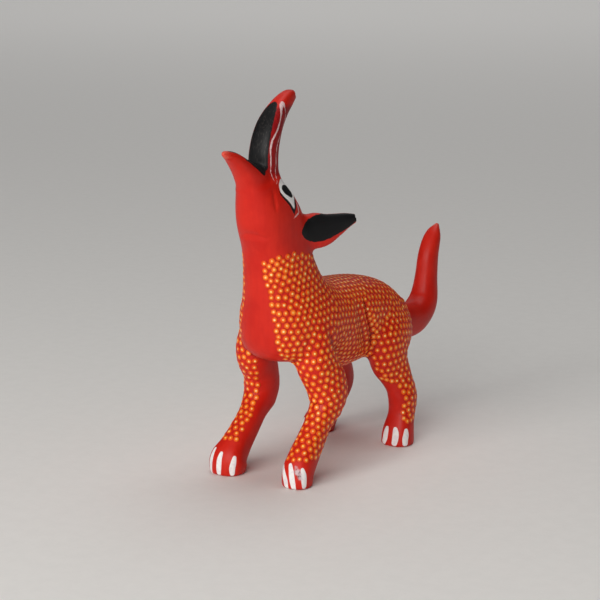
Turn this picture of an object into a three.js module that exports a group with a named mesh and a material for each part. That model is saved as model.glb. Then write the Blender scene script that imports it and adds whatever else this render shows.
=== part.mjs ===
// A small carved and painted wooden dog that howls at the sky: one piece of wood with a slim
// barrel, braced legs, an upright neck, wide open jaws, ears laid back and a raised tail.
// It is carved from rounded limbs that flow into each other over a soft valley.
import * as THREE from 'three';

// All sizes are in millimetres. The dog looks along -Y, its left side is +X, its soles are at Z = 0.

// Middle of the footprint box in carving coordinates, which becomes the part's own origin.
const FOOTPRINT_MIDDLE_X = -0.68;
const FOOTPRINT_MIDDLE_Y = 21.11;

// Surface making: spacing of the first grid, number of facets kept and rounding of the sole edges.
const GRID = 1.05;
const CELL_MARGIN = 0.04;
const FACETS = 8000;
const SOLE_ROUNDING = 0.8;
const SOLE_FLATNESS = 0.05;

// How far the valley between two joined limbs reaches.
const NECK_VALLEY = 7;
const SHOULDER_VALLEY = 2.6;
const HIP_VALLEY = 2.2;
const LEG_VALLEY = 6;
const TAIL_VALLEY = 4;
const BROW_VALLEY = 3;
const JAW_VALLEY = 3;
const SNOUT_VALLEY = 1.6;
const EAR_VALLEY = 2;

// How square a cross-section is: 2 is an ellipse, more is squarer.
const ROUND = 2.2;
const CHEST_SQUARENESS = 2.35;
const PAW_SQUARENESS = 2.4;
const SNOUT_SQUARENESS = 2.8;
const EAR_SQUARENESS = 2.4;

// Each row of a path is the middle of one cross-section: x, y, z.
// Each row of a girth is its half width, its reach to the front and its reach to the back.
// On the level barrel and tail, front means below and back means above.

const BARREL_PATH = [
  [0, 51.3, 32.0],
  [0, 49.3, 32.2],
  [0, 44.2, 33.0],
  [0, 35.6, 35.5],
  [0, 25.8, 37.8],
  [0, 13.8, 38.8],
  [0, 2.8, 39.9],
  [0, -6.1, 39.9],
];
const BARREL_GIRTH = [
  [2.5, 2.5, 2.5],
  [5.9, 5.8, 5.9],
  [9.0, 8.8, 8.6],
  [10.9, 10.9, 11.3],
  [11.2, 12.9, 11.8],
  [11.5, 13.8, 12.0],
  [12.0, 9.2, 10.9],
  [10.0, 6.1, 8.0],
];

// Chest, neck and skull are one upright limb.
const NECK_PATH = [
  [0, -6.5, 33.0],
  [0, -6.8, 35.9],
  [0, -7.0, 42.8],
  [0, -7.3, 49.3],
  [0, -8.5, 54.8],
  [0, -10.1, 60.9],
  [0, -12.3, 66.9],
  [0, -15.3, 72.9],
  [0, -17.6, 77.9],
  [0, -19.1, 81.8],
];
const NECK_GIRTH = [
  [6.5, 6.6, 6.5],
  [11.0, 11.6, 10.0],
  [11.8, 12.8, 12.0],
  [10.5, 12.9, 12.0],
  [9.2, 12.5, 9.5],
  [8.3, 11.7, 8.1],
  [7.9, 10.4, 8.2],
  [7.6, 9.9, 7.4],
  [6.7, 8.6, 5.6],
  [4.8, 7.0, 3.8],
];

const BROW_PATH = [
  [0, -17.1, 82.0],
  [0, -15.0, 78.0],
  [0, -12.1, 72.9],
  [0, -10.6, 68.0],
];
const BROW_GIRTH = [
  [2.9, 2.0, 1.8],
  [5.0, 3.6, 2.6],
  [6.1, 4.5, 2.8],
  [6.5, 4.5, 3.0],
];

const JAW_PATH = [
  [0, -18.0, 77.7],
  [0, -22.2, 82.0],
  [0, -27.0, 86.2],
  [0, -31.9, 89.5],
  [0, -35.2, 90.9],
  [0, -36.1, 91.1],
];
const JAW_GIRTH = [
  [4.9, 6.0, 4.9],
  [4.4, 4.8, 4.4],
  [3.3, 2.8, 2.5],
  [2.1, 1.5, 1.7],
  [0.9, 0.8, 0.9],
  [0.4, 0.4, 0.4],
];

const SNOUT_PATH = [
  [0, -16.7, 77.9],
  [0, -17.5, 83.9],
  [0, -17.3, 89.9],
  [0, -14.9, 95.8],
  [0, -10.6, 100.2],
  [0, -6.2, 102.8],
  [0, -3.8, 103.5],
];
const SNOUT_GIRTH = [
  [4.4, 4.0, 2.5],
  [4.0, 3.4, 2.8],
  [3.8, 3.3, 2.9],
  [3.4, 3.1, 2.9],
  [2.5, 2.7, 2.8],
  [1.8, 2.2, 2.1],
  [1.2, 1.5, 1.3],
];

// The left ear. The right one is its mirror image. An ear's width is upright.
const EAR_PATH = [
  [4.5, -9.1, 67.7],
  [6.7, -5.7, 67.5],
  [8.9, -2.3, 67.5],
  [10.8, 0.7, 68.5],
  [12.5, 3.2, 69.5],
  [14.1, 5.7, 70.1],
];
const EAR_GIRTH = [
  [3.1, 2.2, 2.2],
  [4.8, 2.0, 2.0],
  [4.6, 1.6, 1.6],
  [3.4, 1.4, 1.4],
  [2.3, 1.2, 1.2],
  [1.2, 0.9, 0.9],
];

const TAIL_PATH = [
  [0, 41.8, 31.7],
  [0, 47.8, 30.9],
  [0, 55.7, 30.3],
  [0, 63.6, 30.0],
  [0, 69.8, 33.9],
  [0, 71.6, 41.2],
  [0, 72.7, 48.1],
  [0, 75.6, 53.9],
  [0, 78.5, 57.1],
];
const TAIL_GIRTH = [
  [3.0, 3.5, 3.5],
  [4.4, 5.0, 5.0],
  [4.6, 5.5, 5.4],
  [4.6, 5.2, 4.9],
  [4.3, 4.7, 4.4],
  [3.3, 3.7, 3.7],
  [3.0, 3.2, 3.3],
  [2.5, 2.2, 2.1],
  [0.4, 0.4, 0.4],
];

// Both upper legs of a pair have one girth, and so do both lower legs down to the wrist.
// The paws are carved by eye, so each has its own girth, at the toes and at the sole.
const UPPER_FORELEG_GIRTH = [
  [2.5, 4.0, 3.0],
  [4.8, 6.8, 4.8],
  [5.1, 6.9, 5.9],
  [3.2, 4.3, 4.2],
  [1.9, 2.2, 2.8],
];
const LOWER_FORELEG_GIRTH = [
  [1.8, 2.3, 2.2],
  [3.3, 3.6, 4.1],
  [3.4, 3.7, 3.7],
  [3.9, 4.2, 4.2],
];
const THIGH_GIRTH = [
  [3.0, 12.6, 3.6],
  [5.4, 12.6, 8.0],
  [4.7, 7.7, 7.4],
  [3.4, 5.1, 5.7],
  [1.3, 1.7, 2.0],
];
const SHANK_GIRTH = [
  [1.2, 1.9, 2.0],
  [3.2, 4.1, 4.0],
  [3.6, 3.9, 3.6],
];

const LEFT_FORELEG = {
  upper: [
    [6.1, -6.3, 43.9],
    [8.3, -6.6, 37.9],
    [9.6, -6.1, 30.3],
    [11.4, -2.7, 23.1],
    [11.2, -2.9, 18.3],
  ],
  lower: [
    [11.8, -1.9, 27.7],
    [11.7, -3.1, 22.3],
    [11.1, -9.1, 14.1],
    [10.7, -15.3, 6.6],
    [10.7, -17.9, 3.0],
    [10.9, -17.9, -2.0],
  ],
  paw: [
    [4.1, 4.4, 3.7],
    [3.7, 4.1, 3.6],
  ],
};
const RIGHT_FORELEG = {
  upper: [
    [-7.1, -6.3, 44.4],
    [-9.4, -6.6, 38.5],
    [-10.6, -6.0, 31.4],
    [-11.3, -1.9, 23.0],
    [-11.3, -2.2, 17.5],
  ],
  lower: [
    [-11.7, -0.6, 26.2],
    [-11.6, -1.6, 20.5],
    [-10.9, -8.4, 13.8],
    [-11.5, -14.8, 7.1],
    [-12.1, -17.7, 3.3],
    [-12.0, -17.8, -2.0],
  ],
  paw: [
    [5.3, 4.6, 4.3],
    [4.3, 4.2, 3.9],
  ],
};
const LEFT_HIND_LEG = {
  upper: [
    [5.7, 33.6, 40.2],
    [8.1, 32.8, 33.2],
    [9.7, 31.9, 26.2],
    [10.9, 32.9, 20.3],
    [13.4, 32.8, 14.1],
  ],
  lower: [
    [11.9, 35.0, 20.5],
    [13.0, 35.8, 14.2],
    [13.3, 33.7, 8.4],
    [13.2, 31.9, 3.1],
    [13.2, 31.7, -2.0],
  ],
  paw: [
    [4.5, 4.7, 3.9],
    [4.5, 4.5, 3.9],
  ],
};
const RIGHT_HIND_LEG = {
  upper: [
    [-6.0, 33.8, 40.2],
    [-8.4, 33.0, 33.1],
    [-10.2, 33.4, 26.1],
    [-11.7, 35.6, 20.1],
    [-12.9, 37.6, 14.6],
  ],
  lower: [
    [-10.5, 39.3, 21.5],
    [-10.8, 40.0, 14.8],
    [-12.3, 35.6, 7.6],
    [-13.9, 32.0, 2.1],
    [-14.3, 31.6, -2.0],
  ],
  paw: [
    [4.9, 4.4, 4.0],
    [5.1, 4.5, 4.3],
  ],
};

// Numbers of the surface making.
const SAMPLES_PER_ROW = 7.5;
const FEWEST_SAMPLES = 24;
const SMOOTHING_PASSES = 4;
const NECK_SMOOTHING_PASSES = 10;
const JAW_SMOOTHING_PASSES = 2;
const FIELD_REACH = 7;
const FAR = 27;
const NEARLY_ZERO = 1e-6;
const SLOPE_NUDGE = 0.05;
const LEAST_SQUARED_SLOPE = 0.1;
const CELLS_BELOW_GROUND = 2.5;
const SKIN_STEPS = 2;

// Numbers of the joining of net points: the least certainty of a solved point, the price of length
// that keeps facets even on flat ground, the least cosine a facet may turn by, and the least share
// of area a facet has against its longest side squared.
const LEAST_CERTAINTY = 1e-4;
const PRICE_OF_LENGTH = 1e-4;
const LEAST_TURN_COSINE = 0.6;
const LEAST_FACET_SHARE = 0.08;

const SIDEWAYS = new THREE.Vector3(1, 0, 0);
const UPWARD = new THREE.Vector3(0, 0, 1);

function linspace(first, last, count) {
  return Array.from({ length: count }, (_, i) => first + ((last - first) * i) / (count - 1));
}

function smoothed(values, passes) {
  let now = values;
  for (let pass = 0; pass < passes; pass += 1) {
    const before = now;
    now = before.map((v, i) => {
      if (i === 0 || i === before.length - 1) {
        return v.clone();
      }
      return before[i - 1].clone().add(before[i + 1]).addScaledVector(v, 2).divideScalar(4);
    });
  }
  return now;
}

function curveThrough(rows) {
  return new THREE.CatmullRomCurve3(rows.map((row) => new THREE.Vector3(...row)), false, 'catmullrom');
}

// A limb is a row of samples along a curve. Each holds its middle, the directions of its width,
// of its depth and of the curve, and its girth.
function limb(path, girth, blend, options = {}) {
  const { squareness = ROUND, across = SIDEWAYS, passes = SMOOTHING_PASSES } = options;
  const count = Math.max(FEWEST_SAMPLES, Math.floor(SAMPLES_PER_ROW * path.length));
  const along = linspace(0, 1, count);
  const middles = smoothed(along.map((t) => curveThrough(path).getPoint(t)), passes);
  const girths = smoothed(along.map((t) => curveThrough(girth).getPoint(t)), passes);
  const samples = middles.map((middle, i) => {
    const before = middles[Math.max(i - 1, 0)];
    const after = middles[Math.min(i + 1, count - 1)];
    const ahead = after.clone().sub(before).normalize();
    const width = across.clone().addScaledVector(ahead, -ahead.dot(across)).normalize();
    const depth = ahead.clone().cross(width);
    return { middle, ahead, width, depth, girth: girths[i] };
  });
  const widest = Math.max(...girths.map((g) => Math.max(g.x, g.y, g.z)));
  const box = new THREE.Box3().setFromPoints(middles).expandByScalar(widest + FIELD_REACH);
  return { samples, box, blend, squareness };
}

// The nearest place on the limb's centre line, as a fraction of its samples.
function nearestPlace(samples, point) {
  let nearest = 0;
  let least = Infinity;
  samples.forEach((sample, i) => {
    const distance = sample.middle.distanceToSquared(point);
    if (distance < least) {
      least = distance;
      nearest = i;
    }
  });
  const segment = new THREE.Line3();
  const foot = new THREE.Vector3();
  let place = nearest;
  least = Infinity;
  for (const start of [nearest - 1, nearest]) {
    if (start < 0 || start > samples.length - 2) {
      continue;
    }
    segment.set(samples[start].middle, samples[start + 1].middle);
    const share = segment.closestPointToPointParameter(point, true);
    const distance = segment.at(share, foot).distanceToSquared(point);
    if (distance < least) {
      least = distance;
      place = start + share;
    }
  }
  return place;
}

// Signed distance from a point to one limb's skin, negative inside the wood.
function depthInLimb(shape, point) {
  if (!shape.box.containsPoint(point)) {
    return FAR;
  }
  const { samples, squareness } = shape;
  const place = nearestPlace(samples, point);
  const index = Math.min(Math.floor(place), samples.length - 2);
  const share = place - index;
  const near = samples[index];
  const next = samples[index + 1];
  const mix = (name) => near[name].clone().lerp(next[name], share);
  const offset = point.clone().sub(mix('middle'));
  const girth = mix('girth');
  const x = offset.dot(mix('width'));
  const y = offset.dot(mix('depth'));
  const halfWidth = girth.x;
  const halfDepth = y < 0 ? girth.y : girth.z;
  const radius = Math.hypot(x, y);
  const powers = (Math.abs(x) / halfWidth) ** squareness + (Math.abs(y) / halfDepth) ** squareness;
  const reach = powers ** (1 / squareness);
  const thinner = Math.min(halfWidth, halfDepth);
  let distance = radius - (reach > NEARLY_ZERO ? radius / reach : thinner);
  if (distance < 0) {
    distance = Math.max(distance, (reach - 1) * thinner);
  }
  const beyondEnd = place < NEARLY_ZERO || place > samples.length - 1 - NEARLY_ZERO;
  const overshoot = beyondEnd ? Math.abs(offset.dot(mix('ahead'))) : 0;
  if (overshoot > 0) {
    distance = distance > 0 ? Math.hypot(distance, overshoot) : Math.max(distance, overshoot);
  }
  return distance;
}

// The smaller of two depths, with a rounded valley where they meet.
function blended(a, b, valley) {
  const overlap = Math.max(valley - Math.abs(a - b), 0) / valley;
  return Math.min(a, b) - (overlap * overlap * valley) / 4;
}

function leg({ upper, lower, paw }, [upperGirth, lowerGirth], bodyValley) {
  return [
    limb(upper, upperGirth, bodyValley),
    limb(lower, [...lowerGirth, ...paw], LEG_VALLEY, { squareness: PAW_SQUARENESS }),
  ];
}

function mirrored(path) {
  return path.map(([x, y, z]) => [-x, y, z]);
}

const FORELEG_GIRTHS = [UPPER_FORELEG_GIRTH, LOWER_FORELEG_GIRTH];
const HIND_LEG_GIRTHS = [THIGH_GIRTH, SHANK_GIRTH];
const [leftArm, leftForearm] = leg(LEFT_FORELEG, FORELEG_GIRTHS, SHOULDER_VALLEY);
const [rightArm, rightForearm] = leg(RIGHT_FORELEG, FORELEG_GIRTHS, SHOULDER_VALLEY);
const [leftThigh, leftShank] = leg(LEFT_HIND_LEG, HIND_LEG_GIRTHS, HIP_VALLEY);
const [rightThigh, rightShank] = leg(RIGHT_HIND_LEG, HIND_LEG_GIRTHS, HIP_VALLEY);
const NECK_SHAPE = { squareness: CHEST_SQUARENESS, passes: NECK_SMOOTHING_PASSES };
const EAR_SHAPE = { squareness: EAR_SQUARENESS, across: UPWARD };

const LIMBS = [
  limb(BARREL_PATH, BARREL_GIRTH, 1),
  limb(NECK_PATH, NECK_GIRTH, NECK_VALLEY, NECK_SHAPE),
  leftArm,
  rightArm,
  leftForearm,
  rightForearm,
  leftThigh,
  rightThigh,
  leftShank,
  rightShank,
  limb(TAIL_PATH, TAIL_GIRTH, TAIL_VALLEY),
  limb(BROW_PATH, BROW_GIRTH, BROW_VALLEY),
  limb(JAW_PATH, JAW_GIRTH, JAW_VALLEY, { passes: JAW_SMOOTHING_PASSES }),
  limb(SNOUT_PATH, SNOUT_GIRTH, SNOUT_VALLEY, { squareness: SNOUT_SQUARENESS }),
  limb(EAR_PATH, EAR_GIRTH, EAR_VALLEY, EAR_SHAPE),
  limb(mirrored(EAR_PATH), EAR_GIRTH, EAR_VALLEY, EAR_SHAPE),
];

// Signed distance to the whole dog, with its soles cut flat at the ground.
function depthInDog(point) {
  let depth = depthInLimb(LIMBS[0], point);
  for (const shape of LIMBS.slice(1)) {
    depth = blended(depth, depthInLimb(shape, point), shape.blend);
  }
  return -blended(-depth, point.z, SOLE_ROUNDING);
}

// Moves a point onto the skin along the slope of the depth.
function ontoSkin(point, farthest) {
  const slope = new THREE.Vector3();
  const probe = new THREE.Vector3();
  for (let step = 0; step < SKIN_STEPS; step += 1) {
    for (const axis of ['x', 'y', 'z']) {
      probe.copy(point)[axis] += SLOPE_NUDGE;
      const ahead = depthInDog(probe);
      probe[axis] -= 2 * SLOPE_NUDGE;
      slope[axis] = (ahead - depthInDog(probe)) / (2 * SLOPE_NUDGE);
    }
    const move = slope.multiplyScalar(-depthInDog(point) / Math.max(slope.lengthSq(), LEAST_SQUARED_SLOPE));
    point.add(move.clampLength(0, farthest));
  }
  return point;
}

// Wraps the skin in a net of four-sided cells of an even grid, cut into triangles.
function netOfSkin() {
  const box = new THREE.Box3();
  LIMBS.forEach((shape) => box.union(shape.box));
  box.expandByScalar(-FIELD_REACH + 2 * GRID);
  box.min.z = -CELLS_BELOW_GROUND * GRID;
  const size = box.getSize(new THREE.Vector3()).divideScalar(GRID).ceil();
  const [nx, ny, nz] = [size.x + 1, size.y + 1, size.z + 1];
  const at = (i, j, k) => (i * ny + j) * nz + k;
  const place = (i, j, k) => new THREE.Vector3(i, j, k).multiplyScalar(GRID).add(box.min);
  const depth = new Float64Array(nx * ny * nz);
  for (let i = 0; i < nx; i += 1) {
    for (let j = 0; j < ny; j += 1) {
      for (let k = 0; k < nz; k += 1) {
        depth[at(i, j, k)] = depthInDog(place(i, j, k));
      }
    }
  }
  const steps = [[1, 0, 0], [0, 1, 0], [0, 0, 1]];
  const points = [];
  const cellPoint = new Map();
  const pointOfCell = (i, j, k) => {
    const key = at(i, j, k);
    if (!cellPoint.has(key)) {
      const sum = new THREE.Vector3();
      let crossings = 0;
      for (const [dx, dy, dz] of steps) {
        for (let corner = 0; corner < 4; corner += 1) {
          const [u, v] = [corner & 1, corner >> 1];
          const [a, b, c] = dx ? [0, u, v] : dy ? [u, 0, v] : [u, v, 0];
          const from = depth[at(i + a, j + b, k + c)];
          const to = depth[at(i + a + dx, j + b + dy, k + c + dz)];
          if (from < 0 !== to < 0) {
            const share = from / (from - to);
            sum.add(place(i + a + share * dx, j + b + share * dy, k + c + share * dz));
            crossings += 1;
          }
        }
      }
      const cell = new THREE.Box3(place(i, j, k), place(i + 1, j + 1, k + 1));
      cell.expandByScalar(-CELL_MARGIN);
      const point = ontoSkin(sum.divideScalar(crossings), GRID / 2);
      cellPoint.set(key, points.length);
      points.push(cell.clampPoint(point, point));
    }
    return cellPoint.get(key);
  };
  const faces = [];
  for (let i = 1; i < nx - 1; i += 1) {
    for (let j = 1; j < ny - 1; j += 1) {
      for (let k = 1; k < nz - 1; k += 1) {
        steps.forEach(([dx, dy, dz]) => {
          const from = depth[at(i, j, k)];
          const to = depth[at(i + dx, j + dy, k + dz)];
          if (from < 0 === to < 0) {
            return;
          }
          // The four cells round this grid edge, in the turning sense of the edge's direction.
          const [bx, by, bz, cx, cy, cz] = [dz, dx, dy, dy, dz, dx];
          const ring = [[1, 1], [0, 1], [0, 0], [1, 0]].map(([b, c]) =>
            pointOfCell(i - b * bx - c * cx, j - b * by - c * cy, k - b * bz - c * cz));
          if (from >= 0) {
            ring.reverse();
          }
          const crosswise = points[ring[0]].distanceTo(points[ring[2]]);
          const otherwise = points[ring[1]].distanceTo(points[ring[3]]);
          if (crosswise <= otherwise) {
            faces.push([ring[0], ring[1], ring[2]], [ring[0], ring[2], ring[3]]);
          } else {
            faces.push([ring[0], ring[1], ring[3]], [ring[1], ring[2], ring[3]]);
          }
        });
      }
    }
  }
  return { points, faces };
}

// A heap of possible joins of two neighbouring points, the cheapest first.
class JoinHeap {
  constructor() {
    this.items = [];
  }

  push(item) {
    const { items } = this;
    items.push(item);
    let i = items.length - 1;
    while (i > 0) {
      const parent = (i - 1) >> 1;
      if (items[parent].cost <= items[i].cost) {
        break;
      }
      [items[parent], items[i]] = [items[i], items[parent]];
      i = parent;
    }
  }

  pop() {
    const { items } = this;
    const top = items[0];
    const last = items.pop();
    if (items.length > 0) {
      items[0] = last;
      let i = 0;
      for (;;) {
        let least = i;
        for (const child of [2 * i + 1, 2 * i + 2]) {
          if (child < items.length && items[child].cost < items[least].cost) {
            least = child;
          }
        }
        if (least === i) {
          break;
        }
        [items[least], items[i]] = [items[i], items[least]];
        i = least;
      }
    }
    return top;
  }
}

// The ten different numbers of the squared distance to a plane, weighted by the facet's area.
function planeError(a, b, c) {
  const normal = b.clone().sub(a).cross(c.clone().sub(a));
  const area = normal.length() / 2;
  normal.normalize();
  const terms = [normal.x, normal.y, normal.z, -normal.dot(a)];
  const error = [];
  for (let i = 0; i < 4; i += 1) {
    for (let j = i; j < 4; j += 1) {
      error.push(area * terms[i] * terms[j]);
    }
  }
  return error;
}

function errorAt(q, p) {
  return q[0] * p.x * p.x + 2 * q[1] * p.x * p.y + 2 * q[2] * p.x * p.z + 2 * q[3] * p.x
    + q[4] * p.y * p.y + 2 * q[5] * p.y * p.z + 2 * q[6] * p.y
    + q[7] * p.z * p.z + 2 * q[8] * p.z + q[9];
}

// The point of least error, or the middle of the two points where that isn't well set.
function bestPoint(q, a, b) {
  const matrix = new THREE.Matrix3(q[0], q[1], q[2], q[1], q[4], q[5], q[2], q[5], q[7]);
  const middle = a.clone().add(b).multiplyScalar(0.5);
  const scale = q[0] + q[4] + q[7];
  if (Math.abs(matrix.determinant()) < LEAST_CERTAINTY * scale ** 3) {
    const choices = [middle, a.clone(), b.clone()];
    return choices.reduce((x, y) => (errorAt(q, x) <= errorAt(q, y) ? x : y));
  }
  const solved = new THREE.Vector3(-q[3], -q[6], -q[8]).applyMatrix3(matrix.invert());
  return solved.distanceTo(middle) < 2 * a.distanceTo(b) ? solved : middle;
}

// Joins points of the net until the wanted number of facets is left, where the shape suffers least.
function thinned({ points, faces }, wanted) {
  const position = points.map((p) => p.clone());
  const error = points.map(() => new Array(10).fill(0));
  const facesOf = points.map(() => new Set());
  faces.forEach((face, f) => {
    const plane = planeError(...face.map((v) => position[v]));
    face.forEach((v) => {
      facesOf[v].add(f);
      plane.forEach((term, i) => {
        error[v][i] += term;
      });
    });
  });
  const version = points.map(() => 0);
  const neighbours = (v) => new Set([...facesOf[v]].flatMap((f) => faces[f]).filter((w) => w !== v));
  const heap = new JoinHeap();
  const offer = (a, b) => {
    const total = error[a].map((term, i) => term + error[b][i]);
    const target = bestPoint(total, position[a], position[b]);
    if (position[a].z === 0 || position[b].z === 0) {
      target.z = 0;
    }
    const price = PRICE_OF_LENGTH * position[a].distanceToSquared(position[b]);
    const cost = Math.max(errorAt(total, target), 0) + price;
    heap.push({ cost, a, b, target, seen: version[a] + version[b] });
  };
  points.forEach((_, a) => neighbours(a).forEach((b) => a < b && offer(a, b)));
  const turnsOver = (v, other, target) => [...facesOf[v]].some((f) => {
    if (faces[f].includes(other)) {
      return false;
    }
    const before = new THREE.Triangle(...faces[f].map((w) => position[w]));
    const after = new THREE.Triangle(...faces[f].map((w) => (w === v ? target : position[w])));
    const oldNormal = before.getNormal(new THREE.Vector3());
    const newNormal = after.getNormal(new THREE.Vector3());
    const corners = [after.a, after.b, after.c];
    const longest = Math.max(...corners.map((corner, i) => corner.distanceTo(corners[(i + 1) % 3])));
    return oldNormal.dot(newNormal) < LEAST_TURN_COSINE
      || after.getArea() < LEAST_FACET_SHARE * longest * longest;
  });
  let left = faces.length;
  while (left > wanted && heap.items.length > 0) {
    const { a, b, target, seen } = heap.pop();
    if (facesOf[a].size === 0 || facesOf[b].size === 0 || seen !== version[a] + version[b]) {
      continue;
    }
    const aroundA = neighbours(a);
    const aroundB = neighbours(b);
    const shared = [...aroundA].filter((v) => aroundB.has(v));
    const crossed = !aroundA.has(b) || shared.length !== 2;
    if (crossed || turnsOver(a, b, target) || turnsOver(b, a, target)) {
      continue;
    }
    for (const f of [...facesOf[b]]) {
      if (faces[f].includes(a)) {
        faces[f].forEach((v) => facesOf[v].delete(f));
        left -= 1;
      } else {
        faces[f] = faces[f].map((v) => (v === b ? a : v));
        facesOf[a].add(f);
      }
    }
    facesOf[b] = new Set();
    position[a] = target;
    error[a] = error[a].map((term, i) => term + error[b][i]);
    version[a] += 1;
    neighbours(a).forEach((v) => {
      version[v] += 1;
    });
    neighbours(a).forEach((v) => {
      offer(a, v);
      neighbours(v).forEach((w) => w !== a && offer(v, w));
    });
  }
  const kept = new Set(facesOf.flatMap((set) => [...set]));
  return { points: position, faces: [...kept].map((f) => faces[f]) };
}

function dogGeometry() {
  const net = netOfSkin();
  net.points.forEach((p) => {
    if (p.z < SOLE_FLATNESS) {
      p.z = 0;
    }
  });
  const { points, faces } = thinned(net, FACETS);
  const numbers = new Map();
  const positions = [];
  const indices = faces.flat().map((v) => {
    if (!numbers.has(v)) {
      numbers.set(v, numbers.size);
      const { x, y, z } = points[v];
      positions.push(x - FOOTPRINT_MIDDLE_X, y - FOOTPRINT_MIDDLE_Y, z);
    }
    return numbers.get(v);
  });
  const geometry = new THREE.BufferGeometry();
  geometry.setAttribute('position', new THREE.Float32BufferAttribute(positions, 3));
  geometry.setIndex(indices);
  geometry.computeVertexNormals();
  return geometry;
}

const redPaint = new THREE.MeshStandardMaterial({ color: 0xc4231c, roughness: 0.45, metalness: 0 });
const dog = new THREE.Mesh(dogGeometry(), redPaint);
dog.name = 'dog';

const alebrijeDog = new THREE.Group();
alebrijeDog.name = 'alebrije_dog';
alebrijeDog.add(dog);

export default alebrijeDog;
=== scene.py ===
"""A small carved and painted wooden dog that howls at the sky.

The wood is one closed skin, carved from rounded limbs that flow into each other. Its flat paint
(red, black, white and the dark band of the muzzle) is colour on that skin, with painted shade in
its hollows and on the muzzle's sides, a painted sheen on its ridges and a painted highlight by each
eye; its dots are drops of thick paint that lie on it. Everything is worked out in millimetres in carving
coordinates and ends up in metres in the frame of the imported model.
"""

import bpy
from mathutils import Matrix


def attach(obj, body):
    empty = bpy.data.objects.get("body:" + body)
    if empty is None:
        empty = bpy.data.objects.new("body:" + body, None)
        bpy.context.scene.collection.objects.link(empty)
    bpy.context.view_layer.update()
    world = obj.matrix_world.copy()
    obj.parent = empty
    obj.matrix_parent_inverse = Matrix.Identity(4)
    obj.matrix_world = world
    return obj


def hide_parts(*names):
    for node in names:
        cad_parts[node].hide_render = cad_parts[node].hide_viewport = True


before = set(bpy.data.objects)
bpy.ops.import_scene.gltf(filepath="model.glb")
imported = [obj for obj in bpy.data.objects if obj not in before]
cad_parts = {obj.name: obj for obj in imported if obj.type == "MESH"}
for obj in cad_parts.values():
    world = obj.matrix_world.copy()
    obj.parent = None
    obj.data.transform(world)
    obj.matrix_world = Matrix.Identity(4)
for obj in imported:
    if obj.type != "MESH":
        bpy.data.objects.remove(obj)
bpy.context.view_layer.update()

import logging
import math
from dataclasses import dataclass, field
from enum import Enum
from functools import partial, reduce
from itertools import product

import bpy
import numpy as np
from mathutils import Matrix, Vector
from mathutils.kdtree import KDTree

LOG = logging.getLogger("carved_dog")

Array = np.ndarray
Rows = tuple[tuple[float, ...], ...]

# The dog looks along -Y, its left side is +X and its soles are at Z = 0.
MILLIMETRE = 0.001
FOOTPRINT_MIDDLE = np.array((-0.68, 21.11, 0.0))

# How square a cross-section is: 2 is an ellipse, more is squarer.
ROUND = 2.2
CHEST_SQUARENESS = 2.35
PAW_SQUARENESS = 2.4
SNOUT_SQUARENESS = 2.8
EAR_SQUARENESS = 2.4

# How far the valley between two joined limbs reaches.
NECK_VALLEY = 7.0
SHOULDER_VALLEY = 2.6
HIP_VALLEY = 2.2
LEG_VALLEY = 6.0
TAIL_VALLEY = 4.0
BROW_VALLEY = 3.0
JAW_VALLEY = 3.0
SNOUT_VALLEY = 1.6
EAR_VALLEY = 2.0

SIDEWAYS = (1.0, 0.0, 0.0)
UPWARD = (0.0, 0.0, 1.0)

# Shares and lengths below these count as nothing.
TINY = 1e-6
SHORTEST = 1e-12

# How many steps a drawn line has from one of its points to the next.
STEPS_PER_POINT = 8


@dataclass(frozen=True)
class LegTable:
    """One leg's upper and lower curve, and the girth of its paw at the toes and at the sole."""

    upper: Rows
    lower: Rows
    paw: Rows


# A path lists the middles of cross-sections: x, y, z.
# A girth lists their half widths, with their reach to the front and to the back.
BARREL_PATH = (
    (0, 51.3, 32.0),
    (0, 49.3, 32.2),
    (0, 44.2, 33.0),
    (0, 35.6, 35.5),
    (0, 25.8, 37.8),
    (0, 13.8, 38.8),
    (0, 2.8, 39.9),
    (0, -6.1, 39.9),
)
BARREL_GIRTH = (
    (2.5, 2.5, 2.5),
    (5.9, 5.8, 5.9),
    (9.0, 8.8, 8.6),
    (10.9, 10.9, 11.3),
    (11.2, 12.9, 11.8),
    (11.5, 13.8, 12.0),
    (12.0, 9.2, 10.9),
    (10.0, 6.1, 8.0),
)
NECK_PATH = (
    (0, -6.5, 33.0),
    (0, -6.8, 35.9),
    (0, -7.0, 42.8),
    (0, -7.3, 49.3),
    (0, -8.5, 54.8),
    (0, -10.1, 60.9),
    (0, -12.3, 66.9),
    (0, -15.3, 72.9),
    (0, -17.6, 77.9),
    (0, -19.1, 81.8),
)
NECK_GIRTH = (
    (6.5, 6.6, 6.5),
    (11.0, 11.6, 10.0),
    (11.8, 12.8, 12.0),
    (10.5, 12.9, 12.0),
    (9.2, 12.5, 9.5),
    (8.3, 11.7, 8.1),
    (7.9, 10.4, 8.2),
    (7.6, 9.9, 7.4),
    (6.7, 8.6, 5.6),
    (4.8, 7.0, 3.8),
)
BROW_PATH = (
    (0, -17.1, 82.0),
    (0, -15.0, 78.0),
    (0, -12.1, 72.9),
    (0, -10.6, 68.0),
)
BROW_GIRTH = (
    (2.9, 2.0, 1.8),
    (5.0, 3.6, 2.6),
    (6.1, 4.5, 2.8),
    (6.5, 4.5, 3.0),
)
JAW_PATH = (
    (0, -18.0, 77.7),
    (0, -22.2, 82.0),
    (0, -27.0, 86.2),
    (0, -31.9, 89.5),
    (0, -35.2, 90.9),
    (0, -36.1, 91.1),
)
JAW_GIRTH = (
    (4.9, 6.0, 4.9),
    (4.4, 4.8, 4.4),
    (3.3, 2.8, 2.5),
    (2.1, 1.5, 1.7),
    (0.9, 0.8, 0.9),
    (0.4, 0.4, 0.4),
)
SNOUT_PATH = (
    (0, -16.7, 77.9),
    (0, -17.5, 83.9),
    (0, -17.3, 89.9),
    (0, -14.9, 95.8),
    (0, -10.6, 100.2),
    (0, -6.2, 102.8),
    (0, -3.8, 103.5),
)
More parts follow.
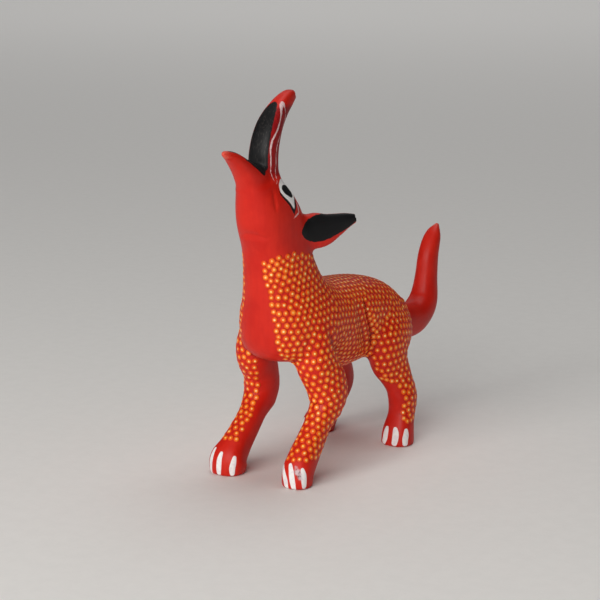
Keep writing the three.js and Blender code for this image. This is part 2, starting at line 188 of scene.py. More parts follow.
SNOUT_GIRTH = (
    (4.4, 4.0, 2.5),
    (4.0, 3.4, 2.8),
    (3.8, 3.3, 2.9),
    (3.4, 3.1, 2.9),
    (2.5, 2.7, 2.8),
    (1.8, 2.2, 2.1),
    (1.2, 1.5, 1.3),
)
EAR_PATH = (
    (4.5, -9.1, 67.7),
    (6.7, -5.7, 67.5),
    (8.9, -2.3, 67.5),
    (10.8, 0.7, 68.5),
    (12.5, 3.2, 69.5),
    (14.1, 5.7, 70.1),
)
EAR_GIRTH = (
    (3.1, 2.2, 2.2),
    (4.8, 2.0, 2.0),
    (4.6, 1.6, 1.6),
    (3.4, 1.4, 1.4),
    (2.3, 1.2, 1.2),
    (1.2, 0.9, 0.9),
)
TAIL_PATH = (
    (0, 41.8, 31.7),
    (0, 47.8, 30.9),
    (0, 55.7, 30.3),
    (0, 63.6, 30.0),
    (0, 69.8, 33.9),
    (0, 71.6, 41.2),
    (0, 72.7, 48.1),
    (0, 75.6, 53.9),
    (0, 78.5, 57.1),
)
TAIL_GIRTH = (
    (3.0, 3.5, 3.5),
    (4.4, 5.0, 5.0),
    (4.6, 5.5, 5.4),
    (4.6, 5.2, 4.9),
    (4.3, 4.7, 4.4),
    (3.3, 3.7, 3.7),
    (3.0, 3.2, 3.3),
    (2.5, 2.2, 2.1),
    (0.4, 0.4, 0.4),
)
UPPER_FORELEG_GIRTH = (
    (2.5, 4.0, 3.0),
    (4.8, 6.8, 4.8),
    (5.1, 6.9, 5.9),
    (3.2, 4.3, 4.2),
    (1.9, 2.2, 2.8),
)
LOWER_FORELEG_GIRTH = (
    (1.8, 2.3, 2.2),
    (3.3, 3.6, 4.1),
    (3.4, 3.7, 3.7),
    (3.9, 4.2, 4.2),
)
THIGH_GIRTH = (
    (3.0, 12.6, 3.6),
    (5.4, 12.6, 8.0),
    (4.7, 7.7, 7.4),
    (3.4, 5.1, 5.7),
    (1.3, 1.7, 2.0),
)
SHANK_GIRTH = (
    (1.2, 1.9, 2.0),
    (3.2, 4.1, 4.0),
    (3.6, 3.9, 3.6),
)
LEFT_FORELEG = LegTable(
    upper=(
        (6.1, -6.3, 43.9), (8.3, -6.6, 37.9), (9.6, -6.1, 30.3), (11.4, -2.7, 23.1),
        (11.2, -2.9, 18.3),
    ),
    lower=(
        (11.8, -1.9, 27.7), (11.7, -3.1, 22.3), (11.1, -9.1, 14.1), (10.7, -15.3, 6.6),
        (10.7, -17.9, 3.0), (10.9, -17.9, -2.0),
    ),
    paw=((4.1, 4.4, 3.7), (3.7, 4.1, 3.6)),
)
RIGHT_FORELEG = LegTable(
    upper=(
        (-7.1, -6.3, 44.4), (-9.4, -6.6, 38.5), (-10.6, -6.0, 31.4), (-11.3, -1.9, 23.0),
        (-11.3, -2.2, 17.5),
    ),
    lower=(
        (-11.7, -0.6, 26.2), (-11.6, -1.6, 20.5), (-10.9, -8.4, 13.8), (-11.5, -14.8, 7.1),
        (-12.1, -17.7, 3.3), (-12.0, -17.8, -2.0),
    ),
    paw=((5.3, 4.6, 4.3), (4.3, 4.2, 3.9)),
)
LEFT_HIND_LEG = LegTable(
    upper=(
        (5.7, 33.6, 40.2), (8.1, 32.8, 33.2), (9.7, 31.9, 26.2), (10.9, 32.9, 20.3),
        (13.4, 32.8, 14.1),
    ),
    lower=(
        (11.9, 35.0, 20.5), (13.0, 35.8, 14.2), (13.3, 33.7, 8.4), (13.2, 31.9, 3.1),
        (13.2, 31.7, -2.0),
    ),
    paw=((4.5, 4.7, 3.9), (4.5, 4.5, 3.9)),
)
RIGHT_HIND_LEG = LegTable(
    upper=(
        (-6.0, 33.8, 40.2), (-8.4, 33.0, 33.1), (-10.2, 33.4, 26.1), (-11.7, 35.6, 20.1),
        (-12.9, 37.6, 14.6),
    ),
    lower=(
        (-10.5, 39.3, 21.5), (-10.8, 40.0, 14.8), (-12.3, 35.6, 7.6), (-13.9, 32.0, 2.1),
        (-14.3, 31.6, -2.0),
    ),
    paw=((4.9, 4.4, 4.0), (5.1, 4.5, 4.3)),
)


def curve_through(rows: Array, count: int) -> Array:
    """Draws a soft curve through the rows of a table.

    Args:
        rows: the points, one in each row.
        count: how many points the curve gets, evenly spread over the rows.

    Returns:
        The curve's points.
    """
    padded = np.vstack((2 * rows[0] - rows[1], rows, 2 * rows[-1] - rows[-2]))
    place = np.linspace(0, len(rows) - 1, count)
    start = np.minimum(place.astype(int), len(rows) - 2)
    t = (place - start)[:, None]
    a, b, c, d = (padded[start + i] for i in range(4))
    slope_in, slope_out = (c - a) / 2, (d - b) / 2
    return (
        b
        + slope_in * t
        + (3 * (c - b) - 2 * slope_in - slope_out) * t**2
        + (2 * (b - c) + slope_in + slope_out) * t**3
    )


def blended(a: Array, b: Array, valley: float) -> Array:
    """Takes the smaller of two depths, with a rounded valley where they meet."""
    overlap = np.maximum(valley - np.abs(a - b), 0) / valley
    return np.minimum(a, b) - overlap**2 * valley / 4


def unit(vectors: Array) -> Array:
    """Gives each vector the length one."""
    return vectors / np.maximum(np.linalg.norm(vectors, axis=-1, keepdims=True), SHORTEST)


def travelled_along(points: Array) -> Array:
    """Measures the way along a line of points.

    Args:
        points: the line's points.

    Returns:
        The way from the first point to each of them.
    """
    steps = np.linalg.norm(np.diff(points, axis=0), axis=1)
    return np.concatenate(((0.0,), np.cumsum(steps)))


@dataclass(frozen=True)
class Reading:
    """Where points lie in a limb: place along it from 0 to 1, and offsets in its cross-section."""

    place: Array
    across: Array
    back: Array
    overshoot: Array
    half_width: Array
    half_depth: Array


@dataclass
class Limb:
    """A rounded limb: cross-sections along a soft curve."""

    path: Rows
    girth: Rows
    valley: float
    squareness: float = ROUND
    across: tuple[float, float, float] = SIDEWAYS
    passes: int = 4
    samples_per_row: float = 7.5
    fewest_samples: int = 24
    reach: float = 7.0
    far: float = 27.0
    batch: int = 40000
    middles: Array = field(init=False)
    girths: Array = field(init=False)
    ahead: Array = field(init=False)
    width: Array = field(init=False)
    depth_axis: Array = field(init=False)

    def __post_init__(self) -> None:
        """Works out the samples along the curve."""
        count = max(self.fewest_samples, math.floor(self.samples_per_row * len(self.path)))
        self.middles = self.smoothed(curve_through(np.array(self.path, float), count))
        self.girths = self.smoothed(curve_through(np.array(self.girth, float), count))
        self.ahead = unit(np.gradient(self.middles, axis=0))
        across = np.array(self.across)
        self.width = unit(across - (self.ahead @ across)[:, None] * self.ahead)
        self.depth_axis = np.cross(self.ahead, self.width)

    def smoothed(self, rows: Array) -> Array:
        """Averages each row with its neighbours a few times, with the ends kept.

        Args:
            rows: the rows, which are changed.

        Returns:
            The same rows.
        """
        for _ in range(self.passes):
            rows[1:-1] = (rows[:-2] + 2 * rows[1:-1] + rows[2:]) / 4
        return rows

    def close(self, points: Array) -> Array:
        """Tells which points are near enough to the limb to matter.

        Args:
            points: positions in carving coordinates.

        Returns:
            True for every point that is near.
        """
        margin = max(map(max, self.girth)) + self.reach
        low, high = self.middles.min(0) - margin, self.middles.max(0) + margin
        return np.all((points >= low) & (points <= high), axis=1)

    def nearest_place(self, points: Array) -> Array:
        """Finds the nearest place on the curve for each point.

        Args:
            points: positions in carving coordinates.

        Returns:
            The places, counted in samples.
        """
        last = len(self.middles) - 1
        squares = (self.middles**2).sum(1) - 2 * points @ self.middles.T
        nearest = squares.argmin(1)
        best_place = nearest.astype(float)
        best = np.full(len(points), np.inf)
        for start in (nearest - 1, nearest):
            inside = (start >= 0) & (start < last)
            start = np.clip(start, 0, last - 1)
            step = self.middles[start + 1] - self.middles[start]
            offset = points - self.middles[start]
            share = np.clip((offset * step).sum(1) / (step**2).sum(1), 0, 1)
            gap = ((offset - share[:, None] * step) ** 2).sum(1)
            better = inside & (gap < best)
            best = np.where(better, gap, best)
            best_place = np.where(better, start + share, best_place)
        return best_place

    def read(self, points: Array) -> Reading:
        """Reads where points lie in the limb.

        Args:
            points: positions in carving coordinates.

        Returns:
            The reading of every point.
        """
        last = len(self.middles) - 1
        place = self.nearest_place(points)
        start = np.minimum(place.astype(int), last - 1)
        share = (place - start)[:, None]

        def mixed(table: Array) -> Array:
            """Mixes the two samples that each point lies between."""
            return table[start] * (1 - share) + table[start + 1] * share

        offset = points - mixed(self.middles)
        girth = mixed(self.girths)
        back = (offset * mixed(self.depth_axis)).sum(1)
        at_end = (place < TINY) | (place > last - TINY)
        overshoot = np.abs((offset * mixed(self.ahead)).sum(1)) * at_end
        return Reading(
            place=place / last,
            across=(offset * mixed(self.width)).sum(1),
            back=back,
            overshoot=overshoot,
            half_width=girth[:, 0],
            half_depth=np.where(back < 0, girth[:, 1], girth[:, 2]),
        )

    def depth(self, points: Array) -> Array:
        """Measures the signed distance to the limb's skin, negative inside the wood.

        Args:
            points: positions in carving coordinates.

        Returns:
            The distance of each point, in millimetres.
        """
        depth = np.full(len(points), self.far)
        near = np.flatnonzero(self.close(points))
        for part in np.array_split(near, len(near) // self.batch + 1):
            r = self.read(points[part])
            radius = np.hypot(r.across, r.back)
            powers = np.abs(r.across / r.half_width) ** self.squareness
            powers += np.abs(r.back / r.half_depth) ** self.squareness
            reach = powers ** (1 / self.squareness)
            thinner = np.minimum(r.half_width, r.half_depth)
            skin = np.where(reach > TINY, radius / np.maximum(reach, TINY), thinner)
            gap = radius - skin
            gap = np.where(gap < 0, np.maximum(gap, (reach - 1) * thinner), gap)
            beyond = np.where(gap > 0, np.hypot(gap, r.overshoot), np.maximum(gap, r.overshoot))
            depth[part] = np.where(r.overshoot > 0, beyond, gap)
        return depth


@dataclass
class Block:
    """The carved block of wood: all limbs joined, with the soles cut flat at the ground."""

    limbs: dict[str, Limb]
    sole_rounding: float = 0.8
    sole_flatness: float = 0.05
    nudge: float = 0.05
    least_slope: float = 0.1

    def depth(self, points: Array) -> Array:
        """Measures the signed distance to the skin of the whole dog.

        Args:
            points: positions in carving coordinates.

        Returns:
            The distance of each point in millimetres, negative inside the wood.
        """
        depth = None
        for limb in self.limbs.values():
            own = limb.depth(points)
            depth = own if depth is None else blended(depth, own, limb.valley)
        return -blended(-depth, points[:, 2], self.sole_rounding)

    def onto_skin(self, points: Array, steps: int, farthest: float) -> Array:
        """Moves points onto the skin along the slope of the depth.

        Args:
            points: positions near the skin.
            steps: how many times they are moved.
            farthest: the longest single move.

        Returns:
            The moved points.
        """
        for _ in range(steps):
            slope = np.empty_like(points)
            for axis in range(3):
                step = np.zeros(3)
                step[axis] = self.nudge
                slope[:, axis] = self.depth(points + step) - self.depth(points - step)
            slope /= 2 * self.nudge
            squared = np.maximum((slope**2).sum(1), self.least_slope)
            move = -(self.depth(points) / squared)[:, None] * slope
            length = np.linalg.norm(move, axis=1, keepdims=True)
            points = points + move * np.minimum(1, farthest / np.maximum(length, SHORTEST))
        return points


@dataclass
class SkinNet:
    """Wraps a net of four-sided faces round a block, one point in each grid cell it crosses."""

    block: Block
    spacing: float
    coarse: int = 5
    near_steps: float = 1.5
    cells_below_ground: float = 2.5
    cell_margin: float = 0.04
    settling_steps: int = 2
    low: Array = field(init=False)
    shape: Array = field(init=False)
    points: Array = field(init=False)
    faces: Array = field(init=False)

    def __post_init__(self) -> None:
        """Measures the block on the grid and draws the net."""
        limbs = self.block.limbs.values()
        low = np.array([limb.middles.min(0) - limb.girths.max() for limb in limbs])
        high = np.array([limb.middles.max(0) + limb.girths.max() for limb in limbs])
        self.low = low.min(0) - self.spacing
        self.low[2] = -self.cells_below_ground * self.spacing
        size = high.max(0) + self.spacing - self.low
        self.shape = np.ceil(size / self.spacing / self.coarse).astype(int) * self.coarse + 1
        depth = self.measured()
        self.points, cell_of = self.cell_points(depth)
        self.faces = self.ringed(depth < 0, cell_of)

    def measured(self) -> Array:
        """Measures the depth finely near the skin, and only coarsely elsewhere.

        Returns:
            The depth at each grid point.
        """
        coarse_shape = (self.shape - 1) // self.coarse + 1
        step = self.spacing * self.coarse
        places = self.low + step * np.indices(coarse_shape).reshape(3, -1).T
        coarse = self.block.depth(places).reshape(coarse_shape)
        near = np.abs(coarse) < self.near_steps * step
        blocks = np.zeros(coarse_shape - 1, bool)
        for corner in product((0, 1), repeat=3):
            blocks |= near[tuple(slice(c, c + n) for c, n in zip(corner, blocks.shape))]
        depth = coarse
        for axis in range(3):
            depth = np.repeat(depth, self.coarse, axis=axis)
        depth = depth[tuple(slice(0, n) for n in self.shape)].copy()
        fine = np.zeros(self.shape, bool)
        for corner in np.argwhere(blocks) * self.coarse:
            fine[tuple(slice(c, c + self.coarse + 1) for c in corner)] = True
        depth[fine] = self.block.depth(self.low + self.spacing * np.argwhere(fine))
        return depth

    def cell_points(self, depth: Array) -> tuple[Array, Array]:
        """Puts one point in each cell that the skin crosses.

        Args:
            depth: the depth at each grid point.

        Returns:
            The points, and the number of each cell's point.
        """
        cells = self.shape - 1
        inside = depth < 0
        count = np.zeros(cells, int)
        for corner in product((0, 1), repeat=3):
            count += inside[tuple(slice(c, c + n) for c, n in zip(corner, cells))]
        crossed = (count > 0) & (count < 8)
        index = np.argwhere(crossed)
        number = np.full(cells, -1)
        number[crossed] = np.arange(len(index))
        total = np.zeros((len(index), 3))
        crossings = np.zeros(len(index))
        for corner in product((0, 1), repeat=3):
            for axis in range(3):
                if corner[axis]:
                    continue
                step = np.eye(3, dtype=int)[axis]
                first = depth[tuple((index + corner).T)]
                second = depth[tuple((index + corner + step).T)]
                crossing = (first < 0) != (second < 0)
                share = np.where(crossing, first / np.where(crossing, first - second, 1), 0)
                place = index + corner + share[:, None] * step
                total += np.where(crossing[:, None], place, 0)
                crossings += crossing
        points = self.low + self.spacing * total / crossings[:, None]
        points = self.block.onto_skin(points, self.settling_steps, self.spacing / 2)
        corner = self.low + self.spacing * index
        margin = self.cell_margin * self.spacing
        points = np.clip(points, corner + margin, corner + self.spacing - margin)
        points[points[:, 2] < self.block.sole_flatness, 2] = 0
        return points, number

    def ringed(self, inside: Array, number: Array) -> Array:
        """Joins the points of the four cells round each crossed grid edge.

        Args:
            inside: whether each grid point is inside the wood.
            number: the number of each cell's point.

        Returns:
            The corners of every face, turned outwards.
        """
        round_edge = ((1, 1), (0, 1), (0, 0), (1, 0))
        faces = []
        for axis in range(3):
            first = [slice(None)] * 3
            second = [slice(None)] * 3
            first[axis], second[axis] = slice(0, -1), slice(1, None)
            edges = np.argwhere(inside[tuple(first)] != inside[tuple(second)])
            one, two = np.eye(3, dtype=int)[[(axis + 1) % 3, (axis + 2) % 3]]
            ring = [number[tuple((edges - b * one - c * two).T)] for b, c in round_edge]
            ring = np.stack(ring, axis=1)
            outward = inside[tuple(edges.T)]
            faces.append(np.where(outward[:, None], ring, ring[:, ::-1]))
        return np.concatenate(faces)


@dataclass
class Skin:
    """The dog's skin as drawn: points, four-sided faces, and what the painter needs to know of it."""

    points: Array
    faces: Array
    bulge_passes: int = 18
    normals: Array = field(init=False)
    areas: Array = field(init=False)
    bulge: Array = field(init=False)

    def __post_init__(self) -> None:
        """Works out normals, areas and how much the skin bulges at each point."""
        a, b, c, d = (self.points[self.faces[:, i]] for i in range(4))
        cross = np.cross(c - a, d - b)
        self.normals = unit(self.gathered(cross))
        # The product of the diagonals is twice the area, and each corner gets a quarter of it.
        self.areas = self.gathered(np.linalg.norm(cross, axis=1)[:, None])[:, 0] / (2 * 4)
        self.bulge = self.bulging()

    def gathered(self, values: Array) -> Array:
        """Adds up the values of each face at its four corners.

        Args:
            values: one row of values for each face.

        Returns:
            One row of sums for each point.
        """
        total = np.zeros((len(self.points), values.shape[1]))
        for corner in range(4):
            for column in range(values.shape[1]):
                total[:, column] += np.bincount(
                    self.faces[:, corner], values[:, column], len(self.points)
                )
        return total

    def averaged(self, values: Array) -> Array:
        """Averages the values of the neighbours along the edges of the faces.

        Args:
            values: one value for each point.

        Returns:
            The average of the neighbours' values for each point.
        """
        total = np.zeros(len(self.points))
        count = np.zeros(len(self.points))
        for corner in range(4):
            for other in ((corner + 1) % 4, (corner + 3) % 4):
                total += np.bincount(
                    self.faces[:, corner], values[self.faces[:, other]], len(self.points)
                )
                count += np.bincount(self.faces[:, corner], minlength=len(self.points))
        return total / count

    def bulging(self) -> Array:
        """Measures the bend of the skin: the sum of one over its two radii, in millimetres.

        Returns:
            The bend at each point, positive on ridges and negative in valleys.
        """
        middle = np.stack([self.averaged(self.points[:, axis]) for axis in range(3)], axis=1)
        # A point stands over its four neighbours by a quarter of the bend times the area.
        bend = ((self.points - middle) * self.normals).sum(1) / np.maximum(self.areas, TINY) * 4
        for _ in range(self.bulge_passes):
            bend = self.averaged(bend)
        return bend


def mirrored_to_left(points: Array) -> Array:
    """Mirrors the points of the dog's right side to its left side."""
    return np.column_stack((np.abs(points[:, 0]), points[:, 1:]))


def soft_line(line: Rows | Array, half_widths: tuple[float, ...]) -> tuple[Array, Array]:
    """Draws a soft line of changing width.

    Args:
        line: the points that it goes through.
        half_widths: half its width at each of them.

    Returns:
        The points of the drawn line, and half its width at each of them.
    """
    rows = np.column_stack((np.array(line, float), half_widths))
    curve = curve_through(rows, STEPS_PER_POINT * len(rows))
    return curve[:, :-1], curve[:, -1]


def soft_outline(corners: Rows) -> Array:
    """Draws a closed soft outline.

    Args:
        corners: the points that it goes through, in order.

    Returns:
        The points of the drawn outline.
    """
    rows = np.array(corners, float)
    wrapped = np.vstack((rows[-2:], rows, rows[:3]))
    curve = curve_through(wrapped, (len(wrapped) - 1) * STEPS_PER_POINT + 1)
    return curve[2 * STEPS_PER_POINT : (2 + len(rows)) * STEPS_PER_POINT]


def outline_distance(points: Array, outline: Array) -> Array:
    """Measures how far points are outside a closed outline on a plane.

    Args:
        points: positions on the plane.
        outline: the outline's corners in order.

    Returns:
        The distance, negative inside the outline.
    """
    best = np.full(len(points), np.inf)
    inside = np.zeros(len(points), bool)
    for a, b in zip(outline, np.roll(outline, -1, axis=0)):
        step, offset = b - a, points - a
        share = np.clip(offset @ step / max(step @ step, SHORTEST), 0, 1)
        best = np.minimum(best, ((offset - share[:, None] * step) ** 2).sum(1))
        spans = (a[1] > points[:, 1]) != (b[1] > points[:, 1])
        crossing = a[0] + (points[:, 1] - a[1]) * step[0] / (step[1] or SHORTEST)
        inside ^= spans & (points[:, 0] < crossing)
    return np.sqrt(best) * np.where(inside, -1, 1)


def stroke_distance(points: Array, line: Array, half_widths: Array) -> Array:
    """Measures how far points are outside a brush stroke.

    Args:
        points: positions in carving coordinates or on a plane.
        line: the points that the brush went through.
        half_widths: half the stroke's width at each of them.

    Returns:
        The distance, negative inside the stroke.
    """
    best = np.full(len(points), np.inf)
    for (a, b), (wide_a, wide_b) in zip(zip(line, line[1:]), zip(half_widths, half_widths[1:])):
        step, offset = b - a, points - a
        share = np.clip(offset @ step / (step @ step), 0, 1)
        gap = np.linalg.norm(offset - share[:, None] * step, axis=1)
        best = np.minimum(best, gap - wide_a - share * (wide_b - wide_a))
    return best


@dataclass(frozen=True)
class Groove:
    """A soft groove that the knife left in the wood, given for the left side: x, y, z."""

    line: Rows
    half_widths: tuple[float, ...]
    depth: float

    def dent(self, side: Array) -> Array:
        """Tells how deep the groove is at each point.

        Args:
            side: positions in carving coordinates, mirrored to the left side.

        Returns:
            The depths in millimetres.
        """
        inside = -stroke_distance(side, *soft_line(self.line, self.half_widths)) / max(self.half_widths)
        share = np.clip(inside, 0, 1)
        return self.depth * share**2 * (3 - 2 * share)


THROAT = Groove(
    ((0.0, -24.0, 68.4), (1.4, -23.9, 68.3), (2.7, -23.4, 68.1), (4.0, -22.5, 67.7), (5.2, -21.4, 67.4)),
    (1.8, 1.8, 1.5, 1.1, 0.4),
    0.45,
)
CHEEK = Groove(
    ((5.5, -21.3, 80.4), (5.9, -21.3, 78.2), (6.2, -21.2, 76.2), (6.3, -21.0, 74.6)),
    (0.5, 0.8, 0.8, 0.3),
    0.3,
)
HAUNCH = Groove(
    ((9.3, 17.8, 46.1), (10.7, 17.9, 43.5), (11.3, 19.1, 40.0), (11.2, 21.3, 35.9), (10.7, 22.3, 31.5)),
    (0.5, 1.7, 2.2, 2.4, 2.2),
    1.3,
)
FLANK = Groove(
    ((10.3, 13.6, 44.8), (11.2, 13.8, 42.0), (11.5, 15.4, 38.2), (10.9, 17.4, 34.0), (9.8, 19.0, 30.7)),
    (2.0, 4.0, 5.0, 4.8, 3.4),
    0.9,
)
ELBOW = Groove(
    ((13.0, -7.0, 43.8), (13.8, -6.0, 41.0), (14.1, -4.4, 38.4), (13.3, -1.4, 35.0), (11.6, 1.0, 32.0)),
    (0.5, 1.4, 2.0, 2.4, 2.0),
    1.3,
)


@dataclass(frozen=True)
class FacePaint:
    """The flat paint of the head, given for the left side as seen from the side: y, z.

    The right side is painted as a mirror image.
    """

    farthest: float = 9.0
    side_turn: float = 0.25
    turn_reach: float = 3.0
    brush_reach: float = 0.2
    palate_shares: Rows = ((82, 0.8), (95, 0.8), (98.5, 0.74), (100.5, 0.64), (101.8, 0.46), (102.5, 0.16))
    palate_top: float = 102.4
    palate_back: float = 1.0
    palate_back_slope: float = 2.0
    mouth_share: float = 0.66
    mouth_turn: float = 0.7
    mouth_reach: float = 0.74
    mouth_bottom: float = 82.5
    front_strand: Rows = (
        (-11.3, 102.0), (-12.5, 101.0), (-13.9, 98.4), (-15.9, 95.7), (-18.3, 93.0), (-19.3, 90.2),
        (-19.5, 86.6), (-19.8, 83.8), (-19.6, 81.6),
    )
    front_strand_half_widths: tuple[float, ...] = (0.5, 0.44, 0.25, 0.26, 0.24, 0.18, 0.14, 0.11, 0.03)
    back_strand: Rows = (
        (-11.2, 102.0), (-11.2, 100.6), (-11.0, 99.0), (-12.9, 95.9), (-15.8, 92.9), (-17.1, 90.3),
        (-17.6, 86.6), (-18.4, 83.4), (-19.3, 81.9),
    )
    back_strand_half_widths: tuple[float, ...] = (0.4, 0.24, 0.1, 0.08, 0.15, 0.17, 0.15, 0.12, 0.03)
    mouth_corner: Rows = (
        (-29.0, 88.9), (-27.8, 88.1), (-26.5, 87.0), (-25.2, 86.0), (-24.2, 85.1), (-23.1, 84.3),
        (-22.0, 84.8), (-20.9, 85.5), (-20.4, 86.3), (-20.2, 87.4), (-21.4, 88.6), (-25.0, 89.6),
        (-28.6, 89.8),
    )
    eye: Rows = (
        (-16.6, 82.8), (-17.9, 82.2), (-18.7, 81.2), (-18.8, 80.0), (-18.3, 78.9), (-17.3, 77.9),
        (-16.1, 76.9), (-15.2, 75.8), (-14.3, 74.6), (-13.9, 75.4), (-13.6, 76.4), (-12.8, 77.4),
        (-11.6, 78.2), (-12.1, 79.6), (-13.6, 81.2), (-14.8, 82.2),
    )
    pupil: Rows = (
        (-17.5, 81.0), (-17.9, 80.3), (-17.2, 79.1), (-15.8, 78.2), (-14.6, 77.7), (-13.8, 77.8),
        (-13.2, 78.4), (-12.8, 79.3), (-13.8, 80.4), (-15.1, 81.0), (-16.6, 81.2),
    )
    rim: Rows = (
        (-19.2, 81.0), (-19.05, 79.6), (-18.25, 78.4), (-17.1, 77.3), (-16.0, 76.2), (-15.1, 75.0),
        (-14.55, 74.0), (-14.3, 73.0),
    )
    rim_half_widths: tuple[float, ...] = (0.1, 0.26, 0.34, 0.36, 0.38, 0.44, 0.38, 0.1)
    back_rim: Rows = ((-12.4, 77.8), (-12.95, 76.6), (-13.35, 75.7), (-13.85, 74.9), (-14.4, 73.9))
    back_rim_half_widths: tuple[float, ...] = (0.2, 0.42, 0.48, 0.42, 0.3)
    # The pale line behind the eye's rim is a painted highlight.
    glint_and_white_stroke: Rows = ((-11.9, 77.0), (-12.0, 75.6), (-11.9, 74.6), (-12.3, 73.8))
    glint_half_widths: tuple[float, ...] = (0.1, 0.26, 0.34, 0.12)
    corner_stroke: Rows = ((-14.7, 72.3), (-13.4, 72.9), (-11.8, 73.6))
    corner_half_widths: tuple[float, ...] = (0.12, 0.22, 0.18)
    ear: Rows = (
        (-11.5, 68.0), (-10.3, 69.5), (-8.4, 70.6), (-6.0, 71.6), (-2.6, 72.2), (1.4, 72.4),
        (4.8, 72.0), (6.0, 71.3), (5.6, 69.8), (3.8, 68.1), (-0.5, 65.9), (-3.2, 64.9),
        (-6.2, 64.7), (-9.8, 66.2),
    )
    ear_facing: tuple[float, float] = (0.75, -0.66)
    ear_turn: float = 0.05

    def measure(self, points: Array, normals: Array, block: Block) -> dict[str, Array]:
        """Measures each painted shape of the head.

        Args:
            points: the skin's points in carving coordinates.
            normals: the skin's normals.
            block: the carved block.

        Returns:
            The signed distance to each shape in millimetres, by name.
        """
        side = mirrored_to_left(points)
        plane = side[:, 1:]
        outward = np.abs(normals[:, 0]) * (points[:, 0] * normals[:, 0] > 0)
        turned_in = (self.side_turn - outward) * self.turn_reach
        shapes = {
            "palate": self.palate(side, block),
            "lip_loop": np.minimum(
                self.stroke(plane, self.front_strand, self.front_strand_half_widths),
                self.stroke(plane, self.back_strand, self.back_strand_half_widths),
            ),
            "eye": np.maximum(outline_distance(plane, soft_outline(self.eye)), turned_in),
            "pupil": outline_distance(plane, soft_outline(self.pupil)),
            "rim": np.minimum(
                self.stroke(plane, self.rim, self.rim_half_widths),
                self.stroke(plane, self.back_rim, self.back_rim_half_widths),
            ),
            # A painted highlight behind the rim, and a short white stroke under the eye.
            "glint_and_white_stroke": np.minimum(
                self.stroke(plane, self.glint_and_white_stroke, self.glint_half_widths),
                self.stroke(plane, self.corner_stroke, self.corner_half_widths),
            ),
            "ear": self.ear_face(points, normals),
        }
        for name in ("lip_loop", "rim", "glint_and_white_stroke"):
            shapes[name] = np.maximum(shapes[name], turned_in - self.brush_reach)
        return {name: np.clip(value, -self.farthest, self.farthest) for name, value in shapes.items()}

    def stroke(self, plane: Array, line: Rows, half_widths: tuple[float, ...]) -> Array:
        """Measures how far points are outside one brush stroke, as seen from the side."""
        return stroke_distance(plane, *soft_line(line, half_widths))

    def palate(self, side: Array, block: Block) -> Array:
        """Measures the black of the open mouth: the muzzle's front and the jaw's inner face.

        Args:
            side: the skin's points, mirrored to the left side.
            block: the carved block.

        Returns:
            The signed distance in millimetres, negative inside the black.
        """
        muzzle = block.limbs["snout"].read(side)
        heights, shares = np.array(self.palate_shares).T
        front = np.abs(muzzle.across) - np.interp(side[:, 2], heights, shares) * muzzle.half_width
        front = np.maximum(front, muzzle.back * self.palate_back_slope + self.palate_back)
        front = np.maximum(front, side[:, 2] - self.palate_top)
        jaw = block.limbs["jaw"].read(side)
        inner = np.abs(jaw.across) - self.mouth_share * jaw.half_width
        inner = np.maximum(inner, self.mouth_turn * jaw.half_depth - jaw.back)
        inner = np.maximum(inner, (jaw.place - self.mouth_reach) * self.farthest)
        on_jaw = block.limbs["jaw"].depth(side) - block.limbs["snout"].depth(side)
        mouth = np.maximum(np.where(on_jaw < 0, inner, front), self.mouth_bottom - side[:, 2])
        return np.minimum(mouth, outline_distance(side[:, 1:], soft_outline(self.mouth_corner)))

    def ear_face(self, points: Array, normals: Array) -> Array:
        """Measures the black leaf on the outer face of an ear.

        Args:
            points: the skin's points in carving coordinates.
            normals: the skin's normals.

        Returns:
            The signed distance in millimetres, negative inside the leaf.
        """
        leaf = outline_distance(points[:, 1:], soft_outline(self.ear))
        sideways, forwards = self.ear_facing
        outer = normals[:, 0] * np.sign(points[:, 0]) * sideways + normals[:, 1] * forwards
        return np.maximum(leaf, (self.ear_turn - outer) * self.turn_reach)


